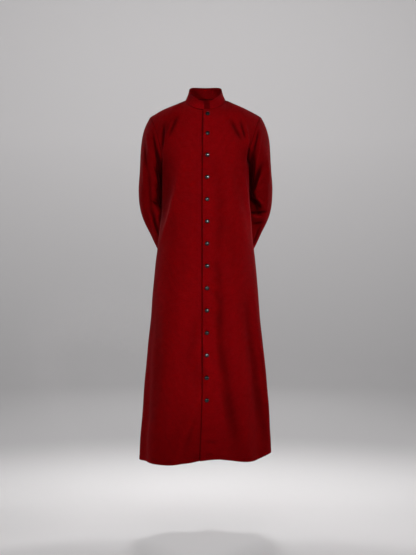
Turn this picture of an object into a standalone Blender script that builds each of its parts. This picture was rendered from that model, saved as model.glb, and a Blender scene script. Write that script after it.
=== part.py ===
"""A full-length cassock with a stand collar, hollow and in the pose it is worn in, hands held behind the back.

Metres, +Z up. The front faces -Y and the wearer's left is +X. The origin is where the wearer's shoulders
carry the garment: midway between the two points where a shoulder seam meets the collar.

The cloth is cut as two fronts, a back, two sleeves and a collar. Each piece is a grid of points on its outer
face, given a wall. A "turn" is an angle round the body: 0 at the front centre, 90 degrees at the wearer's
left side, 180 at the back. A "drop" is a distance down from the origin.
"""

import math
from collections import defaultdict, namedtuple

import bpy
import numpy as np

# Cloth and how its pieces meet
CLOTH = 0.0016
COLLAR_CLOTH = 0.0024
SEAM_GAP = 0.0003
LAYER_GAP = 0.0010
BUTTON_GAP = 0.0005

# Lengths down from the shoulder at the neck
UNDERARM_DROP = 0.240
HEM_DROP = 1.386
SEAT_DROP = 0.62

# Width of the cloth at heights down the body, with its reach to the front and to the back
Section = namedtuple("Section", "drop half_width front back")
BODY = [
    Section(0.240, 0.168, 0.128, 0.126),
    Section(0.360, 0.1705, 0.131, 0.120),
    Section(0.480, 0.178, 0.133, 0.119),
    Section(0.580, 0.188, 0.136, 0.126),
    Section(0.700, 0.201, 0.141, 0.136),
    Section(0.850, 0.212, 0.148, 0.144),
    Section(1.010, 0.2275, 0.156, 0.155),
    Section(1.165, 0.239, 0.164, 0.168),
    Section(1.320, 0.2495, 0.172, 0.181),
    Section(1.386, 0.252, 0.176, 0.186),
]
BODY_SQUARENESS = 2.35
SIDE_SEAM_TURN = math.radians(94.5)
NECK_COLUMN_TURN = math.radians(44)
SKIRT_SWING = math.radians(6.0)

# Soft folds of the skirt: where each begins and is full, and its height, negative for a trough
Fold = namedtuple("Fold", "start_drop full_drop start_turn hem_turn height width")
SKIRT_FOLDS = [
    Fold(0.95, 1.30, 8, -31, 0.009, 8),
    Fold(1.00, 1.35, 12, -24, -0.010, 6),
    Fold(0.70, 1.30, -48, -50, 0.007, 13),
    Fold(0.60, 1.25, -69, -69, -0.008, 9),
    Fold(0.70, 1.35, -86, -87, 0.006, 8),
    Fold(0.46, 1.00, 13, 23, -0.010, 7),
    Fold(0.52, 1.05, 27, 32, 0.007, 7),
    Fold(0.52, 1.10, 50, 49, -0.009, 8),
    Fold(0.50, 1.20, 68, 66, 0.008, 8),
    Fold(0.62, 1.30, 84, 82, -0.005, 7),
    Fold(0.66, 1.30, 116, 114, -0.013, 9),
    Fold(0.62, 1.28, 134, 134, 0.012, 8),
    Fold(0.60, 1.22, 152, 153, -0.015, 8),
    Fold(0.62, 1.30, 170, 172, 0.016, 8),
    Fold(0.60, 1.24, 188, 190, -0.014, 8),
    Fold(0.64, 1.32, 207, 209, 0.013, 9),
    Fold(0.66, 1.26, 226, 229, -0.013, 9),
    Fold(0.70, 1.34, 246, 247, 0.009, 9),
]

# How far the hem stands above its level, by turn, and where that rise begins
HemRise = namedtuple("HemRise", "turn rise")
HEM_RISES = [
    HemRise(-180, 0.008),
    HemRise(-130, 0.000),
    HemRise(-90, -0.004),
    HemRise(-60, -0.003),
    HemRise(-36, -0.004),
    HemRise(-22, 0.002),
    HemRise(-8, 0.013),
    HemRise(6, 0.018),
    HemRise(28, 0.005),
    HemRise(48, 0.007),
    HemRise(64, 0.022),
    HemRise(80, 0.024),
    HemRise(98, 0.030),
    HemRise(140, 0.020),
    HemRise(180, 0.008),
]
HEM_RISE_START = 1.05

# Neck: the collar's seam and its top edge are ovals, lower in front than at the back and lifted at the sides
Oval = namedtuple("Oval", "half_width half_depth centre_y height fall side_lift")
NECK = Oval(0.079, 0.073, -0.002, -0.0120, 0.0320, 0.0120)
COLLAR_TOP = Oval(0.0635, 0.062, -0.004, 0.0255, 0.0368, 0.0175)
SHOULDER_TURN = math.radians(97)
COLLAR_NOTCH = (-0.0061, 0.0174)
COLLAR_WAIST = 0.0022
COLLAR_FIRST_CELL = 0.03

# Shoulder seam, in the wearer's left half
SHOULDER_TIP = (0.2165, 0.014, -0.060)
SHOULDER_LEAN_AT_NECK = (0.137, 0.004, -0.062)
SHOULDER_LEAN_AT_TIP = (0.137, 0.004, -0.086)

# Front closing: the left front's edge by height, the underlap beyond it and the step between the layers
Edge = namedtuple("Edge", "drop x")
FRONT_EDGE = [
    Edge(0.040, -0.0085),
    Edge(0.300, -0.0108),
    Edge(0.800, -0.0112),
    Edge(1.165, -0.0118),
    Edge(1.386, -0.0200),
]
UNDERLAP_EDGE_X = 0.028
TUCK_START = 0.002
TUCK_FADE = 0.060
OPEN_DROP = 1.150
OPEN_DEPTH = 0.008

# Buttons down the left front
BUTTON_COUNT = 14
BUTTON_RADIUS = 0.0085
BUTTON_HEIGHT = 0.0062
FIRST_BUTTON_DROP = 0.0620
SECOND_BUTTON_DROP = 0.1400
LAST_BUTTON_DROP = 1.1474
BUTTON_LINE_TOP_X = 0.0080
BUTTON_LINE_HEM_X = 0.0050

# A button's outline from its underside to near its top, as shares of its radius and height
BUTTON_OUTLINE = [(0.84, 0.0), (1.0, 0.16), (0.95, 0.42), (0.74, 0.74), (0.40, 0.94)]

# Guide lines that carry a panel from the underarm ring to its top edge, by share of the panel's width
Guide = namedtuple("Guide", "share at_ring at_top")
FRONT_GUIDES = [
    Guide(0.00, (0.000, 0.010, 0.200), (0.000, 0.095, 0.160)),
    Guide(0.19, (-0.003, 0.010, 0.200), (-0.030, 0.150, 0.130)),
    Guide(0.32, (-0.004, 0.002, 0.200), (-0.070, 0.212, 0.103)),
    Guide(0.43, (-0.006, -0.010, 0.200), (-0.105, 0.285, 0.064)),
    Guide(0.49, (-0.006, -0.025, 0.200), (-0.085, 0.345, 0.036)),
    Guide(0.61, (-0.008, -0.050, 0.198), (-0.050, 0.378, 0.016)),
    Guide(0.74, (-0.012, -0.105, 0.172), (-0.012, 0.378, 0.023)),
    Guide(0.87, (-0.020, -0.180, 0.110), (0.024, 0.360, 0.041)),
    Guide(1.00, (-0.030, -0.280, 0.040), (0.050, 0.305, 0.060)),
]
BACK_GUIDES = [
    Guide(0.000, (-0.030, 0.270, 0.040), (0.050, -0.280, 0.060)),
    Guide(0.087, (-0.024, 0.150, 0.097), (0.034, -0.350, 0.047)),
    Guide(0.173, (-0.016, 0.050, 0.152), (0.018, -0.410, 0.034)),
    Guide(0.260, (-0.008, 0.005, 0.182), (0.000, -0.410, 0.022)),
    Guide(0.346, (-0.005, -0.005, 0.202), (-0.012, -0.390, 0.030)),
    Guide(0.385, (-0.004, 0.010, 0.204), (-0.026, -0.260, 0.065)),
    Guide(0.423, (-0.003, 0.020, 0.206), (-0.022, -0.165, 0.100)),
    Guide(0.500, (0.000, 0.028, 0.210), (0.000, -0.085, 0.150)),
]

# Sleeve, wearer's left: the arm's line with the cloth's half width across and half depth front to back
Station = namedtuple("Station", "x y z across deep")
ARM = [
    Station(0.2135, 0.046, -0.275, 0.0465, 0.064),
    Station(0.2160, 0.064, -0.345, 0.0495, 0.063),
    Station(0.2085, 0.091, -0.415, 0.0505, 0.060),
    Station(0.1800, 0.125, -0.500, 0.0430, 0.053),
    Station(0.1470, 0.155, -0.580, 0.0400, 0.049),
    Station(0.1080, 0.184, -0.668, 0.0390, 0.046),
]
SLEEVE_SQUARENESS = 2.2
ARM_STEP = 0.02

# How the sleeve's cap leaves the armhole: outward, downward, and less steeply over the top
CAP_OUTWARD = 0.50
CAP_DOWNWARD = 0.97
CAP_EASED_AT_TOP = 0.25

# Folds of a sleeve: the place down the arm (0 underarm, 1 cuff), round it (0 outside, 90 front, 180 inside)
SleeveFold = namedtuple("SleeveFold", "along around reach_along reach_around slant height")
LEFT_SLEEVE_FOLDS = [
    SleeveFold(0.26, 122, 0.055, 34, -0.0028, -0.011),
    SleeveFold(0.36, 116, 0.045, 44, -0.0010, 0.006),
    SleeveFold(0.45, 120, 0.040, 44, 0.0004, -0.007),
    SleeveFold(0.54, 112, 0.050, 50, 0.0010, 0.004),
    SleeveFold(0.20, 62, 0.240, 13, 0.0, 0.004),
    SleeveFold(0.42, 262, 0.060, 40, 0.0010, -0.006),
]
RIGHT_SLEEVE_FOLDS = [
    SleeveFold(0.24, 132, 0.050, 32, 0.0010, -0.008),
    SleeveFold(0.36, 124, 0.055, 44, -0.0012, 0.005),
    SleeveFold(0.18, 74, 0.240, 13, 0.0, -0.004),
    SleeveFold(0.50, 76, 0.160, 15, 0.0, 0.003),
    SleeveFold(0.40, 258, 0.060, 42, -0.0010, -0.006),
]

# Grid cells of the pieces
NECK_CELLS = 9
SHOULDER_CELLS = 9
UNDERLAP_CELLS = 2
BACK_NECK_CELLS = 8
YOKE_ROWS = 11
SKIRT_ROWS = 24
CAP_ROWS = 6
ARM_ROWS = 20
COLLAR_ROWS = 3
BUTTON_SIDES = 12

# Smoothing under the corner where the neck meets the shoulder: passes, and reach across and down in cells
EASE_PASSES = 3
EASE_COLUMNS = 3.5
EASE_ROWS = 1.5

# Two pieces share a normal at a seam where their own ones agree by this much, and keep their own below it
SEAM_AGREEMENT = (0.35, 0.75)

Colour = namedtuple("Colour", "rgb roughness")
CLOTH_COLOUR = Colour((0.130, 0.004, 0.006), 0.85)
BUTTON_COLOUR = Colour((0.006, 0.006, 0.007), 0.20)


def hermite(start, start_lean, end, end_lean, share):
    """Cubic from start to end that leaves along start_lean and arrives along end_lean."""
    s2, s3 = share**2, share**3
    return (
        (2 * s3 - 3 * s2 + 1) * start
        + (s3 - 2 * s2 + share) * start_lean
        + (3 * s2 - 2 * s3) * end
        + (s3 - s2) * end_lean
    )


def smooth_value(knots, values, at):
    """A smooth curve through a table's values; knots rise."""
    knots, values = np.asarray(knots, float), np.asarray(values, float)
    slopes = np.gradient(values, knots)
    i = np.clip(np.searchsorted(knots, at) - 1, 0, len(knots) - 2)
    span = knots[i + 1] - knots[i]
    share = np.clip((at - knots[i]) / span, 0, 1)
    return hermite(values[i], slopes[i] * span, values[i + 1], slopes[i + 1] * span, share)


def column(table, name):
    return [getattr(row, name) for row in table]


def ramp(value, low, high):
    """0 below low, 1 above high and smooth between."""
    t = np.clip((value - low) / (high - low), 0, 1)
    return t * t * (3 - 2 * t)


def unit(vectors):
    return vectors / np.linalg.norm(vectors, axis=-1, keepdims=True)


def evenly_along(points_of, start, end, count, samples=241):
    """Values between start and end that place count points evenly along a curve."""
    fine = np.linspace(start, end, samples)
    steps = np.linalg.norm(np.diff(points_of(fine), axis=0), axis=1)
    length = np.concatenate([[0], np.cumsum(steps)])
    return np.interp(np.linspace(0, length[-1], count), length, fine)


def turned_away(turn, centre):
    """Degrees between two turns, the short way round."""
    return (np.degrees(turn) - centre + 180) % 360 - 180


def skirt_relief(turn, drop):
    """How far the soft folds lift the cloth off its section."""
    relief = np.zeros_like(turn)
    for fold in SKIRT_FOLDS:
        grown = ramp(drop, fold.start_drop, fold.full_drop)
        down = (drop - fold.start_drop) / (HEM_DROP - fold.start_drop)
        centre = fold.start_turn + (fold.hem_turn - fold.start_turn) * max(down, 0)
        relief += fold.height * grown * np.exp(-((turned_away(turn, centre) / fold.width) ** 2))
    return relief


def body_points(turn, drop):
    """Points of the body's outer face at one height, with the skirt's folds and swing and the hem's rise."""
    turn = np.asarray(turn, float)
    half_width, front, back = (
        smooth_value(column(BODY, "drop"), column(BODY, name), drop)
        for name in ("half_width", "front", "back")
    )
    s, c = np.sin(turn), np.cos(turn)
    depth = np.where(c > 0, front, back)
    fullness = (np.abs(s) ** BODY_SQUARENESS + np.abs(c) ** BODY_SQUARENESS) ** (-1 / BODY_SQUARENESS)
    x, y = half_width * s * fullness, -depth * c * fullness
    outward = unit(np.stack([s / half_width, -c / depth], axis=-1))
    relief = skirt_relief(turn, drop)
    x, y = x + outward[:, 0] * relief, y + outward[:, 1] * relief
    swing = SKIRT_SWING * ramp(drop, SEAT_DROP, HEM_DROP)
    x, y = x * math.cos(swing) - y * math.sin(swing), x * math.sin(swing) + y * math.cos(swing)
    degrees = turned_away(turn, 0)
    rise = smooth_value(column(HEM_RISES, "turn"), column(HEM_RISES, "rise"), degrees)
    return np.stack([x, y, -drop + rise * ramp(drop, HEM_RISE_START, HEM_DROP)], axis=-1)


def turn_at_x(x, drop):
    """The turn near the front centre where the body's face has this x."""
    fine = np.linspace(-0.5, 0.5, 161)
    return np.interp(x, body_points(fine, drop)[:, 0], fine)


def round_neck(oval, turn):
    """Points of an oval round the neck."""
    s, c = np.sin(turn), np.cos(turn)
    height = oval.height - oval.fall * c + oval.side_lift * s * s
    return np.stack([oval.half_width * s, oval.centre_y - oval.half_depth * c, height], axis=-1)


def neck_seam(turn):
    return round_neck(NECK, turn)


def neck_turn_at_x(x):
    return math.asin(x / NECK.half_width)


def shoulder_seam(share, side):
    """The shoulder seam from the neck to the tip; side is 1 for the wearer's left and -1 for the right."""
    mirror = np.array([side, 1, 1])
    start = neck_seam(np.array(side * SHOULDER_TURN))
    end = np.array(SHOULDER_TIP) * mirror
    leans = np.array(SHOULDER_LEAN_AT_NECK) * mirror, np.array(SHOULDER_LEAN_AT_TIP) * mirror
    return hermite(start, leans[0], end, leans[1], share[:, None])


def leans_at(guides, shares, which, side):
    """A guide's lean for each column, mirrored to the wearer's right where side is -1."""
    rows = np.array(column(guides, which)) * np.array([side, 1, 1])
    return np.stack([np.interp(shares, column(guides, "share"), rows[:, k]) for k in range(3)], axis=-1)


def yoke_rows(ring, top, at_ring, at_top):
    """Rows of a panel from its top edge down to the underarm ring."""
    shares = np.linspace(1, 0, YOKE_ROWS + 1)[:, None, None]
    return hermite(ring[None], at_ring[None], top[None], at_top[None], shares)


def eased(yoke, corners):
    """The yoke smoothed across under each corner of its top edge, so that no ridge runs down from there."""
    columns = np.arange(yoke.shape[1])
    near = sum(1 - ramp(np.abs(columns - corner), 0, EASE_COLUMNS) for corner in corners)
    rows = np.arange(yoke.shape[0])
    below = ramp(rows, 0, EASE_ROWS) * (1 - ramp(rows, YOKE_ROWS - 2 * EASE_ROWS, YOKE_ROWS))
    weight = (below[:, None] * near)[:, 1:-1, None]
    made = yoke.copy()
    for _ in range(EASE_PASSES):
        middle = (made[:, :-2] + 2 * made[:, 1:-1] + made[:, 2:]) / 4
        made[:, 1:-1] += (middle - made[:, 1:-1]) * weight
    return made


def skirt_drops():
    return np.linspace(UNDERARM_DROP, HEM_DROP, SKIRT_ROWS + 1)


def front_neck_turns(side, edge_x, cells):
    """Turns of the points where a front meets the collar, from its edge to the shoulder seam."""
    edge_turn = neck_turn_at_x(edge_x(-float(neck_seam(np.array(0.0))[2])))
    return evenly_along(neck_seam, edge_turn, side * SHOULDER_TURN, cells + 1)


def back_neck_turns():
    return evenly_along(neck_seam, SHOULDER_TURN, 2 * math.pi - SHOULDER_TURN, BACK_NECK_CELLS + 1)


def front_panel(side, edge_x, neck_cells):
    """One front's grid of points, rows from the top down and columns from the front edge to the side seam.

    edge_x gives the x of the front edge at a height.
    """
    shoulder = shoulder_seam(np.linspace(0, 1, SHOULDER_CELLS + 1)[1:], side)
    top = np.concatenate([neck_seam(front_neck_turns(side, edge_x, neck_cells)), shoulder])

    def ring(drop):
        def at(turn):
            return body_points(turn, drop)

        start, middle, end = turn_at_x(edge_x(drop), drop), side * NECK_COLUMN_TURN, side * SIDE_SEAM_TURN
        near = evenly_along(at, start, middle, neck_cells + 1)
        far = evenly_along(at, middle, end, SHOULDER_CELLS + 1)
        return at(np.concatenate([near, far[1:]]))

    first = ring(UNDERARM_DROP)
    along = np.concatenate([[0], np.cumsum(np.linalg.norm(np.diff(first, axis=0), axis=1))])
    middle = np.interp(0, side * first[:, 0], along)
    shares = np.abs(along - middle) / (along[-1] - middle)
    at_ring = leans_at(FRONT_GUIDES, shares, "at_ring", side)
    at_top = leans_at(FRONT_GUIDES, shares, "at_top", side)
    yoke = eased(yoke_rows(first, top, at_ring, at_top), [neck_cells])
    skirt = np.stack([ring(drop) for drop in skirt_drops()[1:]])
    return np.concatenate([yoke, skirt])


def back_panel():
    """The back's grid, columns from the wearer's left side seam to the right one."""
    cells = 2 * SHOULDER_CELLS + BACK_NECK_CELLS
    neck_turns = back_neck_turns()
    left = shoulder_seam(np.linspace(1, 0, SHOULDER_CELLS + 1)[:-1], 1)
    right = shoulder_seam(np.linspace(0, 1, SHOULDER_CELLS + 1)[1:], -1)
    top = np.concatenate([left, neck_seam(neck_turns), right])

    def ring(drop):
        ends = SIDE_SEAM_TURN, 2 * math.pi - SIDE_SEAM_TURN
        turns = evenly_along(lambda t: body_points(t, drop), *ends, cells + 1)
        return body_points(turns, drop)

    first = ring(UNDERARM_DROP)
    shares = np.linspace(0, 1, cells + 1)
    folded = np.minimum(shares, 1 - shares)
    mirror = np.where(shares <= 0.5, 1.0, -1.0)[:, None] * np.array([1.0, 0, 0]) + np.array([0, 1.0, 1.0])
    at_ring = leans_at(BACK_GUIDES, folded, "at_ring", 1) * mirror
    at_top = leans_at(BACK_GUIDES, folded, "at_top", 1) * mirror
    corners = SHOULDER_CELLS, SHOULDER_CELLS + BACK_NECK_CELLS
    yoke = eased(yoke_rows(first, top, at_ring, at_top), corners)
    skirt = np.stack([ring(drop) for drop in skirt_drops()[1:]])
    return np.concatenate([yoke, skirt])


def left_edge_x(drop):
    return float(smooth_value(column(FRONT_EDGE, "drop"), column(FRONT_EDGE, "x"), drop))


def underlap_edge_x(_drop):
    return UNDERLAP_EDGE_X


def tucked(grid, normals):
    """The right front pressed in to lie under the left one, and further in where the closing falls open."""
    drop = -grid[..., 2]
    edge = smooth_value(column(FRONT_EDGE, "drop"), column(FRONT_EDGE, "x"), np.clip(drop, 0.04, HEM_DROP))
    under = 1 - ramp(edge - grid[..., 0], TUCK_START, TUCK_FADE)
    depth = CLOTH + LAYER_GAP + OPEN_DEPTH * ramp(drop, OPEN_DROP, HEM_DROP)
    return grid - normals * (under * depth)[..., None]


def armhole(front, back, side):
    """The armhole's points in order: shoulder tip, down the front, underarm, up the back."""
    down = front[: YOKE_ROWS + 1, -1]
    up = back[: YOKE_ROWS + 1, 0 if side > 0 else -1][::-1]
    return np.concatenate([down, up[1:-1]])


def arm_value(name, share):
    """A column of the arm's table at shares 0 to 1 of its length."""
    line = np.array([[row.x, row.y, row.z] for row in ARM])
    steps = np.linalg.norm(np.diff(line, axis=0), axis=1)
    at = np.concatenate([[0], np.cumsum(steps)])
    return smooth_value(at / at[-1], column(ARM, name), share)


def arm_line(share, side):
    return np.stack([arm_value("x", share) * side, arm_value("y", share), arm_value("z", share)], axis=-1)


def sleeve_relief(folds, share, around):
    """How far a sleeve's folds lift it, at a share of its length and angles round it."""
    relief = np.zeros_like(around)
    for fold in folds:
        away = turned_away(around, fold.around)
        along = share - fold.along - fold.slant * away
        relief += fold.height * np.exp(-((along / fold.reach_along) ** 2) - (away / fold.reach_around) ** 2)
    return relief


def arm_ring(share, around, side, folds):
    """One ring of the sleeve, square to the arm's line."""
    nearby = np.array([max(share - ARM_STEP, 0), min(share + ARM_STEP, 1)])
    ends = arm_line(nearby, side)
    along = unit(ends[1] - ends[0])
    outward = np.array([side, 0, 0]) - side * along[0] * along
    outward = outward / np.linalg.norm(outward)
    forward = np.cross(along, outward) * side
    s, c = np.sin(around), np.cos(around)
    fullness = (np.abs(s) ** SLEEVE_SQUARENESS + np.abs(c) ** SLEEVE_SQUARENESS) ** (-1 / SLEEVE_SQUARENESS)
    relief = sleeve_relief(folds, share, around)
    across = (arm_value("across", share) * fullness + relief) * c
    deep = (arm_value("deep", share) * fullness + relief) * s
    return arm_line(np.array([share]), side) + np.outer(across, outward) + np.outer(deep, forward)


def sleeve(hole, side, folds):
    """A sleeve's grid: rows from the armhole to the cuff, columns round it and closed on themselves."""
    around = np.arange(len(hole)) * (2 * math.pi / len(hole))
    first = arm_ring(0.0, around, side, folds)
    second = arm_ring(ARM_STEP, around, side, folds)
    reach = np.linalg.norm(first - hole, axis=1)[:, None]
    top = (0.5 + 0.5 * np.cos(around))[:, None]
    outward, down = np.array([side, 0, 0]), np.array([0, 0, -1.0])
    leave = unit(CAP_OUTWARD * outward + (CAP_DOWNWARD - CAP_EASED_AT_TOP * top) * down)
    arrive = unit(second - first)
    shares = np.linspace(0, 1, CAP_ROWS + 1)[:-1, None, None]
    cap = hermite(hole[None], (leave * reach)[None], first[None], (arrive * reach)[None], shares)
    rings = [arm_ring(share, around, side, folds) for share in np.linspace(0, 1, ARM_ROWS + 1)]
    return np.concatenate([cap, np.stack(rings)])


def collar():
    """The collar's grid, rows from its seam up and columns from the wearer's right end round the back."""
    low_right, low_left = (neck_turn_at_x(x) for x in COLLAR_NOTCH)
    left = front_neck_turns(1, left_edge_x, NECK_CELLS)
    right = front_neck_turns(-1, underlap_edge_x, NECK_CELLS + UNDERLAP_CELLS)
    left = left[left > low_left + COLLAR_FIRST_CELL]
    right = right[right < low_right - COLLAR_FIRST_CELL][::-1]
    turns = [[low_left], left, back_neck_turns()[1:-1], right + 2 * math.pi, [low_right + 2 * math.pi]]
    turns = np.concatenate(turns)
    low, high = neck_seam(turns), round_neck(COLLAR_TOP, turns)
    low = low + unit(high - low) * SEAM_GAP
    shares = np.linspace(0, 1, COLLAR_ROWS + 1)[:, None, None]
    curve = unit(np.stack([np.sin(turns), -np.cos(turns), 0 * turns], axis=-1))
    waist = COLLAR_WAIST * np.sin(math.pi * shares)
    return low[None] + (high - low)[None] * shares - curve[None] * waist


def quads_of(rows, columns, closed):
    """Index quads of a grid whose normals point away from the body."""
    quads = []
    for i in range(rows - 1):
        for j in range(columns if closed else columns - 1):
            k = (j + 1) % columns
            quads.append((i * columns + j, (i + 1) * columns + j, (i + 1) * columns + k, i * columns + k))
    return quads


def split(points, quads):
    """Each quad as two triangles, along its shorter diagonal."""
    faces = []
    for a, b, c, d in quads:
        if np.linalg.norm(points[a] - points[c]) <= np.linalg.norm(points[b] - points[d]):
            faces += [(a, b, c), (a, c, d)]
        else:
            faces += [(a, b, d), (b, c, d)]
    return faces


def grid_normals(grid, closed, flipped):
    """Outward normals of a grid's own points, as sums of the face normals round them."""
    points = grid.reshape(-1, 3)
    sums = np.zeros_like(points)
    for quad in quads_of(grid.shape[0], grid.shape[1], closed):
        a, b, c, d = (points[n] for n in quad)
        normal = np.cross(c - a, d - b) * (-1 if flipped else 1)
        for n in quad:
            sums[n] += normal
    return sums


def seam_normals(pieces):
    """Outward normals of grids whose seam points coincide. Where two pieces run on over a seam, they share
    its normal; where the sleeve turns back against the body under the arm, each keeps its own.

    pieces is a list of (grid, closed, flipped).
    """
    shared = defaultdict(lambda: np.zeros(3))
    own = [grid_normals(*piece) for piece in pieces]
    names = [[tuple(p) for p in np.round(grid.reshape(-1, 3), 6)] for grid, _, _ in pieces]
    for keys, sums in zip(names, own):
        for key, value in zip(keys, unit(sums)):
            shared[key] += value
    made = []
    for (grid, _, _), keys, sums in zip(pieces, names, own):
        mine = unit(sums)
        ours = np.array([shared[key] for key in keys])
        nearness = np.linalg.norm(ours, axis=1) - np.linalg.norm(ours - mine, axis=1)
        agree = ramp(nearness, *SEAM_AGREEMENT)[:, None]
        made.append(unit(mine * (1 - agree) + unit(ours) * agree).reshape(grid.shape))
    return made


def drawn_back(grid, closed):
    """The grid with its open edges drawn back by half a seam gap."""
    made = grid.copy()
    made[0] += unit(grid[1] - grid[0]) * SEAM_GAP / 2
    made[-1] += unit(grid[-2] - grid[-1]) * SEAM_GAP / 2
    if not closed:
        made[:, 0] += unit(grid[:, 1] - grid[:, 0]) * SEAM_GAP / 2
        made[:, -1] += unit(grid[:, -2] - grid[:, -1]) * SEAM_GAP / 2
    return made


def material(name, colour):
    made = bpy.data.materials.new(name)
    made.use_nodes = True
    shader = made.node_tree.nodes["Principled BSDF"]
    shader.inputs["Base Color"].default_value = (*colour.rgb, 1)
    shader.inputs["Roughness"].default_value = colour.roughness
    shader.inputs["Metallic"].default_value = 0.0
    return made


def add_object(name, points, faces, finish, sharp_degrees=50):
    mesh = bpy.data.meshes.new(name)
    mesh.from_pydata([tuple(p) for p in points], [], faces)
    mesh.validate()
    mesh.materials.append(finish)
    mesh.shade_smooth()
    mesh.set_sharp_from_angle(angle=math.radians(sharp_degrees))
    made = bpy.data.objects.new(name, mesh)
    bpy.context.scene.collection.objects.link(made)
    return made


def add_wall(name, grid, normals, thickness, finish, closed=False, flipped=False):
    """A piece of cloth: its outer face, the inner face a wall's thickness in, and the edges between."""
    outer = drawn_back(grid, closed)
    inner = outer - normals * thickness
    rows, columns = grid.shape[:2]
    count = rows * columns
    outside = split(outer.reshape(-1, 3), quads_of(rows, columns, closed))
    faces = outside + [tuple(n + count for n in reversed(face)) for face in outside]
    border = defaultdict(int)
    for face in outside:
        for a, b in zip(face, face[1:] + face[:1]):
            border[(a, b)] += 1
    for a, b in list(border):
        if (b, a) not in border:
            faces.append((b, a, a + count, b + count))
    if flipped:
        faces = [tuple(reversed(face)) for face in faces]
    points = np.concatenate([outer.reshape(-1, 3), inner.reshape(-1, 3)])
    return add_object(name, points, faces, finish)


def front_point(grid, x, drop, reach=9):
    """The point of a front at this x and height, near its edge."""
    rows = np.array([[np.interp(x, row[:reach, 0], row[:reach, k]) for k in range(3)] for row in grid])[::-1]
    return np.array([np.interp(-drop, rows[:, 2], rows[:, k]) for k in range(3)])


def button_seat(grid, x, drop):
    """Where a button's underside rests on the front, and its outward direction."""
    reach = BUTTON_RADIUS
    centre = front_point(grid, x, drop)
    across = front_point(grid, x + reach, drop) - front_point(grid, x - reach, drop)
    up = front_point(grid, x, drop - reach) - front_point(grid, x, drop + reach)
    outward = unit(np.cross(across, up))
    around = np.linspace(0, 2 * math.pi, 17)
    rim = [front_point(grid, x + reach * math.cos(t), drop + reach * math.sin(t)) for t in around]
    lift = max(float((point - centre) @ outward) for point in rim)
    return centre + outward * (max(lift, 0) + BUTTON_GAP), outward


def button_mesh(finish):
    """A half-ball button: a flat underside, a short rim and a domed top."""
    turns = np.arange(BUTTON_SIDES) * (2 * math.pi / BUTTON_SIDES)
    points = [
        (BUTTON_RADIUS * r * math.cos(t), BUTTON_RADIUS * r * math.sin(t), BUTTON_HEIGHT * h)
        for r, h in BUTTON_OUTLINE
        for t in turns
    ]
    points.append((0, 0, BUTTON_HEIGHT))
    n, last = BUTTON_SIDES, (len(BUTTON_OUTLINE) - 1) * BUTTON_SIDES
    faces = [tuple(reversed(range(n)))]
    for i in range(len(BUTTON_OUTLINE) - 1):
        for j in range(n):
            k = (j + 1) % n
            faces.append((i * n + j, i * n + k, (i + 1) * n + k, (i + 1) * n + j))
    faces += [(last + j, last + (j + 1) % n, len(points) - 1) for j in range(n)]
    mesh = bpy.data.meshes.new("button")
    mesh.from_pydata(points, [], faces)
    mesh.materials.append(finish)
    mesh.shade_smooth()
    mesh.set_sharp_from_angle(angle=math.radians(60))
    return mesh


def button_drops():
    rest = np.linspace(SECOND_BUTTON_DROP, LAST_BUTTON_DROP, BUTTON_COUNT - 1)
    return [FIRST_BUTTON_DROP, *rest]


def add_buttons(front, finish):
    """The row of buttons, each square to the cloth and just clear of it."""
    mesh = button_mesh(finish)
    up = np.array([0, 0, 1.0])
    for n, drop in enumerate(button_drops()):
        down = (drop - FIRST_BUTTON_DROP) / (LAST_BUTTON_DROP - FIRST_BUTTON_DROP)
        x = BUTTON_LINE_TOP_X + (BUTTON_LINE_HEM_X - BUTTON_LINE_TOP_X) * down
        seat, outward = button_seat(front, x, drop)
        button = bpy.data.objects.new(f"button_{n + 1:02d}", mesh)
        button.location = seat
        button.rotation_mode = "QUATERNION"
        tilt = math.acos(float(outward @ up))
        axis = unit(np.cross(up, outward)) * math.sin(tilt / 2)
        button.rotation_quaternion = (math.cos(tilt / 2), *axis)
        bpy.context.scene.collection.objects.link(button)


def build():
    for old in list(bpy.data.objects):
        bpy.data.objects.remove(old)
    cloth = material("cassock_cloth", CLOTH_COLOUR)
    black = material("button_black", BUTTON_COLOUR)

    left_front = front_panel(1, left_edge_x, NECK_CELLS)
    right_front = front_panel(-1, underlap_edge_x, NECK_CELLS + UNDERLAP_CELLS)
    back = back_panel()
    left_sleeve = sleeve(armhole(left_front, back, 1), 1, LEFT_SLEEVE_FOLDS)
    right_sleeve = sleeve(armhole(right_front, back, -1), -1, RIGHT_SLEEVE_FOLDS)

    pieces = [
        (left_front, False, False),
        (right_front, False, True),
        (back, False, False),
        (left_sleeve, True, True),
        (right_sleeve, True, False),
    ]
    normals = seam_normals(pieces)
    right_front = tucked(right_front, normals[1])

    add_wall("front_left", left_front, normals[0], CLOTH, cloth)
    add_wall("front_right", right_front, normals[1], CLOTH, cloth, flipped=True)
    add_wall("back", back, normals[2], CLOTH, cloth)
    add_wall("sleeve_left", left_sleeve, normals[3], CLOTH, cloth, closed=True, flipped=True)
    add_wall("sleeve_right", right_sleeve, normals[4], CLOTH, cloth, closed=True)

    band = collar()
    (band_normals,) = seam_normals([(band, False, True)])
    add_wall("collar", band, band_normals, COLLAR_CLOTH, cloth, flipped=True)
    add_buttons(left_front, black)


build()
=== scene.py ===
"""Looks of a full-length cassock, empty of its wearer, in the form and pose it is worn in, hands held behind the
back.

Metres, +Z up. The front faces -Y and the wearer's left is +X. The origin lies midway between the points where
the shoulder seams meet the collar. A "turn" is an angle round the body: 0 at the front centre, 90 degrees at the
wearer's left side. A "drop" is a distance down from the origin. Each piece of cloth is a grid of points on the
form of its solid, rows down it and columns across, with finer creases than the solid has.
"""

import math
from collections import namedtuple

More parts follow.
